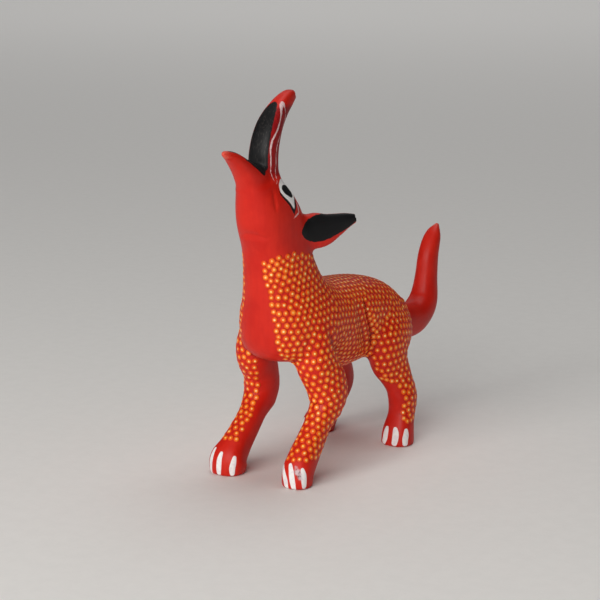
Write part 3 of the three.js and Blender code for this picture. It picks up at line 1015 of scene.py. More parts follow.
@dataclass(frozen=True)
class ClawPaint:
    """The white claws: three blunt strokes down the front of each paw, given as x, y, z."""

    farthest: float = 6.0
    paw_top: float = 10.0
    settling_steps: int = 4
    settling_reach: float = 1.5
    front_half_widths: tuple[float, ...] = (0.52, 0.76, 0.82, 0.66)
    hind_half_widths: tuple[float, ...] = (0.64, 0.92, 0.96, 0.84)
    front_left: tuple[Rows, ...] = (
        ((7.8, -19.5, 5.5), (8.7, -20.5, 3.8), (9.4, -20.9, 2.2), (9.8, -20.9, 0.9)),
        ((10.2, -20.0, 6.2), (10.9, -20.6, 4.6), (11.4, -20.9, 2.6), (11.8, -20.8, 1.0)),
        ((13.4, -19.6, 5.4), (13.9, -19.8, 4.2), (14.1, -19.9, 2.8), (14.0, -19.8, 1.0)),
    )
    front_right: tuple[Rows, ...] = (
        ((-14.6, -19.7, 6.6), (-14.9, -20.4, 4.8), (-15.0, -20.7, 2.9), (-14.9, -20.8, 1.0)),
        ((-12.0, -20.6, 6.0), (-12.2, -21.1, 4.6), (-12.2, -21.5, 2.6), (-12.2, -21.3, 1.1)),
        ((-8.4, -20.0, 5.3), (-8.4, -20.5, 4.0), (-8.6, -20.8, 2.5), (-8.7, -20.7, 1.0)),
    )
    hind_left: tuple[Rows, ...] = (
        ((11.5, 28.8, 5.1), (11.3, 28.4, 3.9), (11.1, 28.2, 2.3), (10.8, 28.4, 1.1)),
        ((14.3, 28.7, 5.2), (14.6, 28.3, 4.0), (14.6, 28.0, 2.4), (14.4, 27.9, 1.1)),
        ((17.0, 30.2, 4.8), (17.2, 29.9, 3.6), (17.2, 29.5, 2.3), (17.0, 29.6, 1.1)),
    )
    hind_right: tuple[Rows, ...] = (
        ((-12.0, 28.2, 5.0), (-11.8, 27.6, 3.8), (-11.8, 27.3, 2.3), (-11.9, 27.4, 1.1)),
        ((-15.0, 27.8, 5.0), (-15.1, 27.4, 3.8), (-15.1, 27.2, 2.3), (-15.1, 27.3, 1.1)),
        ((-17.9, 28.9, 3.4), (-18.0, 28.7, 2.7), (-18.0, 28.5, 1.8), (-17.9, 28.6, 1.0)),
    )

    def measure(self, points: Array, block: Block) -> Array:
        """Measures the claws of all paws.

        Args:
            points: the skin's points in carving coordinates.
            block: the carved block.

        Returns:
            The signed distance to the nearest claw in millimetres, negative inside.
        """
        best = np.full(len(points), self.farthest)
        low = points[:, 2] < self.paw_top
        near = points[low]
        front, hind = self.front_half_widths, self.hind_half_widths
        for paw, half_widths in (
            (self.front_left, front),
            (self.front_right, front),
            (self.hind_left, hind),
            (self.hind_right, hind),
        ):
            for line in paw:
                settled = block.onto_skin(np.array(line), self.settling_steps, self.settling_reach)
                claw = stroke_distance(near, *soft_line(settled, half_widths))
                best[low] = np.minimum(best[low], claw)
        return best


@dataclass(frozen=True)
class DotGround:
    """The part of the skin that carries dots, everything but head, chest panel, tail and insides."""

    neck_top: Rows = (
        (-30, 60.9), (-21.2, 61.1), (-20.6, 61.7), (-19.7, 62.5), (-16.0, 62.9), (-12.0, 62.6),
        (-5, 61.0),
    )
    panel_left: Rows = (
        (0, 5.0), (34.0, 5.0), (36.0, 4.9), (38.0, 4.8), (41.5, 4.4), (45.0, 4.1), (48.8, 3.6),
        (52.9, 3.1), (56.4, 2.4), (60.7, 2.0), (70, 1.6),
    )
    panel_right: Rows = (
        (0, -5.5), (29.0, -5.8), (31.5, -7.6), (34.2, -9.0), (37.6, -8.3), (40.1, -7.8),
        (43.1, -7.2), (46.6, -6.3), (50.6, -5.4), (56.2, -5.0), (70, -4.6),
    )
    panel_back: float = -8.0
    thigh_front: Rows = (
        (0, 30.3), (7.8, 30.4), (12.0, 31.1), (15.0, 31.0), (17.6, 30.6), (18.3, 29.0),
        (20.1, 27.1), (22.7, 25.6), (25.0, 24.8), (27.4, 24.0), (29.2, 22.0), (31.0, 10.0),
        (60, 0.0),
    )
    farthest: float = 9.0
    waist: float = 12.0
    belly_turn: float = 0.93
    belly_reach: float = 9.0
    belly_bottom: float = 24.0
    barrel_reach: float = 3.0
    thigh_reach: float = 1.0
    inside_turn: float = 0.62
    hind_inside_turn: float = 0.1
    inside_reach: float = 4.5
    leg_top: float = 31.0
    height_slope: float = 2.0
    front_leg_end: tuple[float, float] = (7.3, 9.4)
    hind_leg_end: float = 6.9
    rump: float = 36.0
    tail_gap: float = 0.7

    def clearance(self, points: Array, normals: Array, block: Block) -> Array:
        """Measures how far each point is inside the dotted ground.

        Args:
            points: the skin's points in carving coordinates.
            normals: the skin's normals.
            block: the carved block.

        Returns:
            Millimetres to the ground's border, negative outside.
        """
        x, y, z = points.T
        left = x > 0
        inward = normals[:, 0] * np.where(left, -1, 1)
        hind = y > self.waist
        barrel = block.limbs["barrel"].depth(points)

        def along(table: Rows, value: Array) -> Array:
            """Reads a border table at a value."""
            rows = np.array(table, float)
            return np.interp(value, rows[:, 0], rows[:, 1])

        gap = along(self.neck_top, y) - z
        panel = np.maximum(x - along(self.panel_left, z), along(self.panel_right, z) - x)
        gap = np.where(y < self.panel_back, np.minimum(gap, panel), gap)
        belly = (normals[:, 2] + self.belly_turn) * self.belly_reach
        belly += np.maximum(0, self.belly_bottom - z) * self.height_slope
        gap = np.where(barrel > self.barrel_reach, gap, np.minimum(gap, belly))
        turn = np.where(hind, self.hind_inside_turn, self.inside_turn)
        inside = (turn - inward) * self.inside_reach
        inside += np.maximum(0, z - self.leg_top) * self.height_slope
        gap = np.minimum(gap, inside)
        end = np.where(hind, self.hind_leg_end, np.where(left, *self.front_leg_end))
        gap = np.minimum(gap, z - end)
        front = y - along(self.thigh_front, z)
        gap = np.where(hind & (barrel > self.thigh_reach), np.minimum(gap, front), gap)
        tail = block.limbs["tail"].depth(points)
        rump = np.minimum(barrel, block.limbs["left_thigh"].depth(points))
        rump = np.minimum(rump, block.limbs["right_thigh"].depth(points))
        off_tail = np.where(y > self.rump, tail - rump - self.tail_gap, self.farthest)
        return np.minimum(gap, off_tail)


Socket = bpy.types.NodeSocket
Sockets = bpy.types.NodeInputs | bpy.types.NodeOutputs
Value = Socket | float | int
Inputs = dict[str | int, object]
Colour = tuple[float, float, float]
Paint = tuple[float, float, float, float]


def linear(red: int, green: int, blue: int) -> tuple[float, float, float, float]:
    """Turns a paint colour as read off a picture into light values.

    Args:
        red: the red channel, 0 to 255.
        green: the green channel, 0 to 255.
        blue: the blue channel, 0 to 255.

    Returns:
        The light values of the three channels, and one for full cover.
    """

    def one(value: int) -> float:
        """Turns one channel by the usual curve of screens."""
        share = value / 255
        return share / 12.92 if share <= 0.04045 else ((share + 0.055) / 1.055) ** 2.4

    return one(red), one(green), one(blue), 1.0


@dataclass
class NodeBench:
    """Lays out nodes in a tree and joins them."""

    tree: bpy.types.NodeTree

    def node(self, kind: str, inputs: Inputs | None = None, **settings: object) -> bpy.types.Node:
        """Adds a node.

        Args:
            kind: the node's type.
            inputs: what its inputs are joined to or set to, by name or number.
            settings: its settings by name.

        Returns:
            The node.
        """
        node = self.tree.nodes.new(kind)
        for name, value in settings.items():
            setattr(node, name, value)
        for name, value in (inputs or {}).items():
            if isinstance(value, Socket):
                self.tree.links.new(value, node.inputs[name])
            else:
                node.inputs[name].default_value = value
        return node

    def first(self, kind: str, inputs: Inputs | None = None, **settings: object) -> Socket:
        """Adds a node and returns its first output."""
        return self.node(kind, inputs, **settings).outputs[0]

    def math(self, operation: str, *values: Value) -> Socket:
        """Adds a Math node and returns its result."""
        return self.first("ShaderNodeMath", dict(enumerate(values)), operation=operation)

    def vector(self, operation: str, *values: Socket) -> bpy.types.Node:
        """Adds a Vector Math node."""
        return self.node("ShaderNodeVectorMath", dict(enumerate(values)), operation=operation)

    def blend(self, a: Socket, b: Socket, share: float) -> Socket:
        """Adds up a share of one number and the rest of another."""
        return self.math("MULTIPLY_ADD", a, share, self.math("MULTIPLY", b, 1.0 - share))

    def highest(self, *numbers: Socket) -> Socket:
        """Takes the highest of several numbers."""
        return reduce(partial(self.math, "MAXIMUM"), numbers)

    def ramp(
        self, value: Value, low: Value, high: Value, to_low: float = 0.0, to_high: float = 1.0
    ) -> Socket:
        """Maps a range of values softly onto another.

        Args:
            value: the value.
            low: where its range starts.
            high: where its range ends.
            to_low: what the start becomes.
            to_high: what the end becomes.

        Returns:
            The mapped value.
        """
        names = ("Value", "From Min", "From Max", "To Min", "To Max")
        inputs = dict(zip(names, (value, low, high, to_low, to_high)))
        return self.first("ShaderNodeMapRange", inputs, interpolation_type="SMOOTHSTEP")

    def mix(self, share: Value, under: object, over: object) -> Socket:
        """Mixes two colours, the share being how much of the second one is seen."""
        return self.node("ShaderNodeMix", {0: share, 6: under, 7: over}, data_type="RGBA").outputs[2]

    def attribute(self, name: str) -> Socket:
        """Reads a number that the mesh carries at its points."""
        return self.node("ShaderNodeAttribute", attribute_name=name).outputs["Fac"]

    def place(self, stretch: tuple[float, float, float] = (1, 1, 1)) -> Socket:
        """Reads the position on the object, stretched along its axes."""
        position = self.node("ShaderNodeTexCoord").outputs["Object"]
        return self.first("ShaderNodeMapping", {"Vector": position, "Scale": stretch})

    def noise(self, vector: Socket, scale: Value, detail: float = 2.0, roughness: float = 0.5) -> Socket:
        """Adds a noise between 0 and 1."""
        inputs = {"Vector": vector, "Scale": scale, "Detail": detail, "Roughness": roughness}
        return self.node("ShaderNodeTexNoise", inputs).outputs["Fac"]

    def group(self, tree: bpy.types.NodeTree, inputs: Inputs) -> bpy.types.Node:
        """Places a node group with its inputs."""
        return self.node("ShaderNodeGroup", inputs, node_tree=tree)

    def bump(self, height: Socket, distance: float) -> Socket:
        """Adds relief of a height from 0 to 1, given how high 1 is in metres."""
        return self.first("ShaderNodeBump", {"Strength": 1.0, "Distance": distance, "Height": height})

    def surface(self, inputs: Inputs) -> None:
        """Adds the shader with its inputs, and the material's output."""
        self.node("ShaderNodeOutputMaterial", {"Surface": self.first("ShaderNodeBsdfPrincipled", inputs)})


def empty_material(name: str, colour: Paint) -> tuple[bpy.types.Material, NodeBench]:
    """Starts a material.

    Args:
        name: its name.
        colour: its main colour.

    Returns:
        The material without nodes, and the bench for its nodes.
    """
    material = bpy.data.materials.new(name)
    material.use_nodes = True
    material.diffuse_color = colour
    material.node_tree.nodes.clear()
    return material, NodeBench(material.node_tree)


class Effect(Enum):
    """The effects that several finishes share."""

    BRUSHWORK = "brushwork"
    PAINTED_EDGE = "painted_edge"
    WORN_AND_SHEENED_RIDGE = "worn_and_sheened_ridge"


@dataclass
class EffectShelf:
    """Builds each shared effect once and hands it out."""

    streak_stretch: float = 0.16
    grit_scale: float = 5200.0
    even_range: tuple[float, float] = (0.3, 0.7)
    tone_streaks: float = 0.35
    gloss_grit: float = 0.3
    streak_relief: float = 0.7
    grit_relief: float = 0.12
    patch_relief: float = 0.5
    ridge_patch_scale: float = 620.0
    ridge_patch_range: tuple[float, float] = (0.3, 0.62)
    made: dict[Effect, bpy.types.NodeTree] = field(default_factory=dict)

    def take(self, effect: Effect) -> bpy.types.NodeTree:
        """Returns the node group of an effect, built the first time it is asked for.

        Args:
            effect: the effect wanted.

        Returns:
            Its node group.
        """
        if effect not in self.made:
            builders = {
                Effect.BRUSHWORK: self.brushwork,
                Effect.PAINTED_EDGE: self.painted_edge,
                Effect.WORN_AND_SHEENED_RIDGE: self.worn_and_sheened_ridge,
            }
            self.made[effect] = builders[effect]()
        return self.made[effect]

    def opened(
        self, effect: Effect, inputs: dict[str, float], outputs: tuple[str, ...]
    ) -> tuple[NodeBench, dict[str, Socket]]:
        """Starts a node group with number sockets.

        Args:
            effect: the effect that the group is for.
            inputs: the inputs' names and usual values.
            outputs: the outputs' names.

        Returns:
            The bench and the inputs inside the group.
        """
        tree = bpy.data.node_groups.new(effect.value, "ShaderNodeTree")
        for name, value in inputs.items():
            socket = tree.interface.new_socket(name, in_out="INPUT", socket_type="NodeSocketFloat")
            socket.default_value = value
        for name in outputs:
            tree.interface.new_socket(name, in_out="OUTPUT", socket_type="NodeSocketFloat")
        bench = NodeBench(tree)
        entry = bench.node("NodeGroupInput")
        return bench, {name: entry.outputs[name] for name in inputs}

    def brushwork(self) -> bpy.types.NodeTree:
        """Builds the marks of the brush: streaks, thicker and thinner places and fine grit.

        Returns:
            The group, with Tone, Gloss and Relief from 0 to 1.
        """
        bench, given = self.opened(
            Effect.BRUSHWORK,
            {"Streak Scale": 900.0, "Patch Scale": 130.0, "Upright": 1.0},
            ("Tone", "Gloss", "Relief"),
        )
        along_limb = bench.noise(bench.place((1, 1, self.streak_stretch)), given["Streak Scale"], 3.0, 0.6)
        along_back = bench.noise(bench.place((1, self.streak_stretch, 1)), given["Streak Scale"], 3.0, 0.6)
        lift = bench.math("SUBTRACT", along_limb, along_back)
        streak = bench.math("MULTIPLY_ADD", lift, given["Upright"], along_back)
        patch = bench.noise(bench.place(), given["Patch Scale"], 3.0, 0.55)
        grit = bench.noise(bench.place(), self.grit_scale, 2.0, 0.6)
        grit_relief = bench.math("MULTIPLY", grit, self.grit_relief)
        relief = bench.math("MULTIPLY_ADD", streak, self.streak_relief, grit_relief)
        bench.node(
            "NodeGroupOutput",
            {
                "Tone": bench.ramp(bench.blend(streak, patch, self.tone_streaks), *self.even_range),
                "Gloss": bench.ramp(bench.blend(grit, patch, self.gloss_grit), *self.even_range),
                "Relief": bench.math("MULTIPLY_ADD", patch, self.patch_relief, relief),
            },
        )
        return bench.tree

    def painted_edge(self) -> bpy.types.NodeTree:
        """Builds the edge of a hand-painted shape from the distance to its outline.

        Returns:
            The group, with Mask from 0 outside the shape to 1 inside it.
        """
        bench, given = self.opened(
            Effect.PAINTED_EDGE,
            {"Distance": 0.0, "Wobble": 0.15, "Wobble Scale": 900.0, "Softness": 0.06},
            ("Mask",),
        )
        shake = bench.noise(bench.place(), given["Wobble Scale"])
        shake = bench.math("MULTIPLY", bench.math("SUBTRACT", shake, 0.5), given["Wobble"])
        shaken = bench.math("MULTIPLY_ADD", shake, 2.0, given["Distance"])
        inside = bench.math("MULTIPLY", given["Softness"], -1.0)
        bench.node("NodeGroupOutput", {"Mask": bench.ramp(shaken, given["Softness"], inside)})
        return bench.tree

    def worn_and_sheened_ridge(self) -> bpy.types.NodeTree:
        """Builds the paler places on ridges: paint thinned by handling, and a painted sheen.

        Returns:
            The group, with Mask from 0 on sound paint to 1 on worn, sheened ridges.
        """
        bench, given = self.opened(
            Effect.WORN_AND_SHEENED_RIDGE, {"Bulge": 0.0, "From": 0.5, "To": 1.2, "Amount": 0.5}, ("Mask",)
        )
        patch = bench.noise(bench.place(), self.ridge_patch_scale, 4.0, 0.65)
        ridge = bench.ramp(given["Bulge"], given["From"], given["To"])
        worn = bench.ramp(bench.math("MULTIPLY", ridge, patch), *self.ridge_patch_range)
        bench.node("NodeGroupOutput", {"Mask": bench.math("MULTIPLY", worn, given["Amount"])})
        return bench.tree


@dataclass(frozen=True)
class Streaks:
    """Uneven cover of the brush: a noise, stretched along the height, between two levels."""

    scale: float
    low: float
    high: float
    stretch: float = 1.0
    detail: float = 2.0
    roughness: float = 0.5

    def mask(self, bench: NodeBench) -> Socket:
        """Adds the noise as a mask from 0 to 1."""
        noise = bench.noise(bench.place((1, 1, self.stretch)), self.scale, self.detail, self.roughness)
        return bench.ramp(noise, self.low, self.high)


@dataclass(frozen=True)
class Edge:
    """How unsteady and how soft the edge of a painted shape is, in millimetres."""

    wobble: float
    softness: float


@dataclass(frozen=True)
class WoodPaint:
    """The satin paint on the carved wood, with every flat-painted shape, painted shade in the hollows and
    on the muzzle's sides, and a painted sheen on the ridges and highlight by the eyes.
    """

    name: str = "painted_wood"
    red: Paint = linear(199, 28, 16)
    bright_red: Paint = linear(214, 40, 24)
    hollow_shade_red: Paint = linear(140, 12, 10)
    # Painted shade: the darker red that the hollows get.
    muzzle_red_and_shade: Paint = linear(122, 12, 24)
    # Dark red paint of the muzzle's band, deepened by painted shade of the muzzle's sides.
    loop_white: Paint = linear(236, 208, 208)
    black: Paint = linear(17, 17, 19)
    dry_black: Paint = linear(58, 54, 52)
    white: Paint = linear(246, 244, 242)
    thin_white: Paint = linear(236, 226, 230)
    smeared_white: Paint = linear(212, 196, 200)
    # A paler pink for ridges: paint thinned by wear, and a painted sheen.
    ridge_wear_and_sheen: Paint = linear(236, 118, 96)
    edges: tuple[tuple[str, Edge], ...] = (
        ("muzzle", Edge(0.5, 0.9)),
        ("lip_loop", Edge(0.1, 0.09)),
        ("palate", Edge(0.12, 0.1)),
        ("ear", Edge(0.25, 0.08)),
        ("eye", Edge(0.08, 0.07)),
        ("rim", Edge(0.06, 0.07)),
        ("pupil", Edge(0.08, 0.08)),
        ("glint_and_white_stroke", Edge(0.08, 0.08)),
        ("claws", Edge(0.06, 0.08)),
        ("scuff", Edge(0.35, 0.25)),
    )
    white_cover: Streaks = Streaks(900.0, 0.3, 0.55)
    dry_cover: Streaks = Streaks(2600.0, 0.5, 0.72, stretch=0.08, detail=3.0, roughness=0.7)
    smear_cover: Streaks = Streaks(2400.0, 0.3, 0.52, stretch=0.5)
    # Painted shade in the hollows: below these bulges the red turns darker, by this share.
    hollow_shade_bulge: tuple[float, float] = (-0.02, -0.3)
    hollow_shade_share: float = 0.7
    ridge_wear_and_sheen_share: float = 0.55
    loop_share: float = 0.9
    glint_and_stroke_share: float = 0.8
    scuff_share: float = 0.9
    roughness: float = 0.36
    roughness_spread: float = 0.16
    dull_roughness: float = 0.12
    dull_shapes: tuple[str, ...] = ("palate", "ear", "pupil")
    thick_shapes: tuple[str, ...] = ("claws", "eye", "ear", "lip_loop", "glint_and_white_stroke")
    relief: float = 0.00003
    thick_height: float = 1.2
    pupil_height: float = 0.8
    ior: float = 1.47
    shine: float = 0.24
    coat: float = 0.06
    coat_roughness: float = 0.35

    def material(self, shelf: EffectShelf) -> bpy.types.Material:
        """Mixes the paint.

        Args:
            shelf: the shared effects.

        Returns:
            The material.
        """
        material, bench = empty_material(self.name, self.red)
        brush = bench.group(shelf.take(Effect.BRUSHWORK), {"Upright": bench.attribute("upright")})
        tone, uneven, relief = (brush.outputs[name] for name in ("Tone", "Gloss", "Relief"))
        edge_group = shelf.take(Effect.PAINTED_EDGE)
        masks = {}
        for name, edge in self.edges:
            inputs = {"Distance": bench.attribute(name), "Wobble": edge.wobble, "Softness": edge.softness}
            masks[name] = bench.group(edge_group, inputs).outputs["Mask"]
        ground = self.ground(bench, shelf, tone, masks["muzzle"])
        dull = bench.highest(*(masks[name] for name in self.dull_shapes))
        gloss = bench.math("MULTIPLY_ADD", uneven, self.roughness_spread, self.roughness)
        thick = bench.highest(*(masks[name] for name in self.thick_shapes))
        height = bench.math("MULTIPLY_ADD", thick, self.thick_height, relief)
        height = bench.math("MULTIPLY_ADD", masks["pupil"], self.pupil_height, height)
        bench.surface(
            {
                "Base Color": self.figured(bench, ground, masks),
                "Roughness": bench.math("MULTIPLY_ADD", dull, self.dull_roughness, gloss),
                "Normal": bench.bump(height, self.relief),
                "IOR": self.ior,
                "Specular IOR Level": self.shine,
                "Coat Weight": self.coat,
                "Coat Roughness": self.coat_roughness,
            }
        )
        return material

    def ground(self, bench: NodeBench, shelf: EffectShelf, tone: Socket, muzzle: Socket) -> Socket:
        """Mixes the red, with painted shade in the hollows, the muzzle's dark band of dark paint and
        painted shade, and a paler pink on ridges of worn paint and painted sheen.

        Args:
            bench: the material's bench.
            shelf: the shared effects.
            tone: the brush's lighter and darker places.
            muzzle: the mask of the muzzle's dark band.

        Returns:
            The colour.
        """
        bulge = bench.attribute("bulge")
        colour = bench.mix(tone, self.red, self.bright_red)
        # Painted shade: the hollows turn a darker red.
        painted_hollow_shade = bench.math("MULTIPLY", bench.ramp(bulge, *self.hollow_shade_bulge), self.hollow_shade_share)
        colour = bench.mix(painted_hollow_shade, colour, self.hollow_shade_red)
        # The muzzle's dark band: dark paint with painted shade.
        colour = bench.mix(muzzle, colour, self.muzzle_red_and_shade)
        # Ridges turn a paler pink: worn paint and a painted sheen.
        ridge_wear_and_sheen = bench.group(
            shelf.take(Effect.WORN_AND_SHEENED_RIDGE), {"Bulge": bulge, "Amount": self.ridge_wear_and_sheen_share}
        )
        return bench.mix(ridge_wear_and_sheen.outputs["Mask"], colour, self.ridge_wear_and_sheen)

    def figured(self, bench: NodeBench, ground: Socket, masks: dict[str, Socket]) -> Socket:
        """Paints the shapes over the red, in the order of the painter.

        Args:
            bench: the material's bench.
            ground: the red.
            masks: the shapes' masks by name.

        Returns:
            The colour.
        """
        white = bench.mix(self.white_cover.mask(bench), self.thin_white, self.white)
        dry_black = bench.mix(self.dry_cover.mask(bench), self.black, self.dry_black)
        smear = bench.mix(self.smear_cover.mask(bench), self.dry_black, self.smeared_white)
        colour = ground
        for mask, paint in (
            (bench.math("MULTIPLY", masks["lip_loop"], self.loop_share), self.loop_white),
            (masks["palate"], dry_black),
            (masks["ear"], self.black),
            (masks["rim"], self.black),
            # A painted highlight behind the eye's rim, and a short white stroke under the eye.
            (bench.math("MULTIPLY", masks["glint_and_white_stroke"], self.glint_and_stroke_share), self.loop_white),
            (masks["eye"], self.white),
            (masks["pupil"], self.black),
            (masks["claws"], white),
            (bench.math("MULTIPLY", masks["scuff"], self.scuff_share), smear),
        ):
            colour = bench.mix(mask, colour, paint)
        return colour


@dataclass(frozen=True)
class DropPaint:
    """The thick paint of one colour of dots, darker at the edge of each drop."""

    name: str
    colour: Paint
    light: Paint
    dark: Paint
    edge: Paint
    height: float
    shine: float
    coat: float
    coat_roughness: float = 0.18
    roughness: float = 0.34
    roughness_spread: float = 0.14
    dark_drops: tuple[float, float] = (0.0, 0.75)
    light_drops: tuple[float, float] = (0.6, 1.0)
    thin_tone: tuple[float, float] = (0.7, 0.1)
    thin_share: float = 0.35
    streak_scale: float = 2200.0
    patch_scale: float = 420.0
    relief: float = 0.00001

    def material(self, shelf: EffectShelf) -> bpy.types.Material:
        """Mixes the paint.

        Args:
            shelf: the shared effects.

        Returns:
            The material.
        """
        material, bench = empty_material(self.name, self.colour)
        scales = {"Streak Scale": self.streak_scale, "Patch Scale": self.patch_scale}
        brush = bench.group(shelf.take(Effect.BRUSHWORK), scales)
        tint = bench.attribute("tint")
        colour = bench.mix(bench.ramp(tint, *self.dark_drops), self.dark, self.colour)
        colour = bench.mix(bench.ramp(tint, *self.light_drops), colour, self.light)
        thin = bench.ramp(brush.outputs["Tone"], *self.thin_tone)
        colour = bench.mix(bench.math("MULTIPLY", thin, self.thin_share), colour, self.dark)
        inner = bench.ramp(bench.attribute("stand"), 0.0, self.height)
        gloss = brush.outputs["Gloss"]
        bench.surface(
            {
                "Base Color": bench.mix(inner, self.edge, colour),
                "Roughness": bench.math("MULTIPLY_ADD", gloss, self.roughness_spread, self.roughness),
                "Normal": bench.bump(brush.outputs["Relief"], self.relief),
                "Specular IOR Level": self.shine,
                "Coat Weight": self.coat,
                "Coat Roughness": self.coat_roughness,
            }
        )
        return material


ORANGE_PAINT = DropPaint(
    "orange_paint",
    linear(250, 112, 24),
    linear(255, 130, 36),
    linear(242, 94, 18),
    edge=linear(218, 54, 16),
    height=0.00007,
    shine=0.2,
    coat=0.08,
)
YELLOW_PAINT = DropPaint(
    "yellow_paint",
    linear(255, 206, 98),
    linear(255, 228, 150),
    linear(255, 180, 76),
    edge=linear(255, 160, 54),
    height=0.0001,
    shine=0.5,
    coat=0.7,
)


@dataclass(frozen=True)
class FloorPaint:
    """The plain pale floor."""

    name: str = "pale_floor"
    pale: Paint = linear(234, 232, 229)
    paler: Paint = linear(237, 235, 232)
    roughness: tuple[float, float] = (0.72, 0.76)
    shine: float = 0.2
    streak_scale: float = 900.0
    patch_scale: float = 240.0

    def material(self, shelf: EffectShelf) -> bpy.types.Material:
        """Mixes the floor's finish.

        Args:
            shelf: the shared effects.

        Returns:
            The material.
        """
        material, bench = empty_material(self.name, self.pale)
        scales = {"Streak Scale": self.streak_scale, "Patch Scale": self.patch_scale}
        brush = bench.group(shelf.take(Effect.BRUSHWORK), scales)
        bench.surface(
            {
                "Base Color": bench.mix(brush.outputs["Tone"], self.pale, self.paler),
                "Roughness": bench.ramp(brush.outputs["Gloss"], 0.0, 1.0, *self.roughness),
                "Specular IOR Level": self.shine,
            }
        )
        return material


def block_of_wood() -> Block:
    """Joins the dog's limbs in the order in which they are carved.

    Returns:
        The carved block.
    """

    def leg(table: LegTable, girths: tuple[Rows, Rows], valley: float) -> tuple[Limb, Limb]:
        """Makes the upper and the lower part of a leg."""
        upper = Limb(table.upper, girths[0], valley)
        return upper, Limb(table.lower, girths[1] + table.paw, LEG_VALLEY, PAW_SQUARENESS)

    foreleg = (UPPER_FORELEG_GIRTH, LOWER_FORELEG_GIRTH)
    hind_leg = (THIGH_GIRTH, SHANK_GIRTH)
    left_arm, left_forearm = leg(LEFT_FORELEG, foreleg, SHOULDER_VALLEY)
    right_arm, right_forearm = leg(RIGHT_FORELEG, foreleg, SHOULDER_VALLEY)
    left_thigh, left_shank = leg(LEFT_HIND_LEG, hind_leg, HIP_VALLEY)
    right_thigh, right_shank = leg(RIGHT_HIND_LEG, hind_leg, HIP_VALLEY)
    mirrored = tuple((-x, y, z) for x, y, z in EAR_PATH)
    return Block(
        {
            "barrel": Limb(BARREL_PATH, BARREL_GIRTH, 1.0),
            "neck": Limb(NECK_PATH, NECK_GIRTH, NECK_VALLEY, CHEST_SQUARENESS, passes=10),
            "left_arm": left_arm,
            "right_arm": right_arm,
            "left_forearm": left_forearm,
            "right_forearm": right_forearm,
            "left_thigh": left_thigh,
            "right_thigh": right_thigh,
            "left_shank": left_shank,
            "right_shank": right_shank,
            "tail": Limb(TAIL_PATH, TAIL_GIRTH, TAIL_VALLEY),
            "brow": Limb(BROW_PATH, BROW_GIRTH, BROW_VALLEY),
            "jaw": Limb(JAW_PATH, JAW_GIRTH, JAW_VALLEY, passes=2),
            "snout": Limb(SNOUT_PATH, SNOUT_GIRTH, SNOUT_VALLEY, SNOUT_SQUARENESS),
            "left_ear": Limb(EAR_PATH, EAR_GIRTH, EAR_VALLEY, EAR_SQUARENESS, UPWARD),
            "right_ear": Limb(mirrored, EAR_GIRTH, EAR_VALLEY, EAR_SQUARENESS, UPWARD),
        }
    )


def to_metres(points: Array) -> Array:
    """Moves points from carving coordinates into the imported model's frame."""
    return (points - FOOTPRINT_MIDDLE) * MILLIMETRE


def mesh_object(name: str, points: Array, faces: list) -> bpy.types.Object:
    """Makes a mesh object that stands in the scene.

    Args:
        name: the piece's name.
        points: its points in metres.
        faces: the corners of its faces.

    Returns:
        The object.
    """
    mesh = bpy.data.meshes.new(name)
    mesh.from_pydata(points.tolist(), [], faces)
    piece = bpy.data.objects.new(name, mesh)
    bpy.context.scene.collection.objects.link(piece)
    return piece


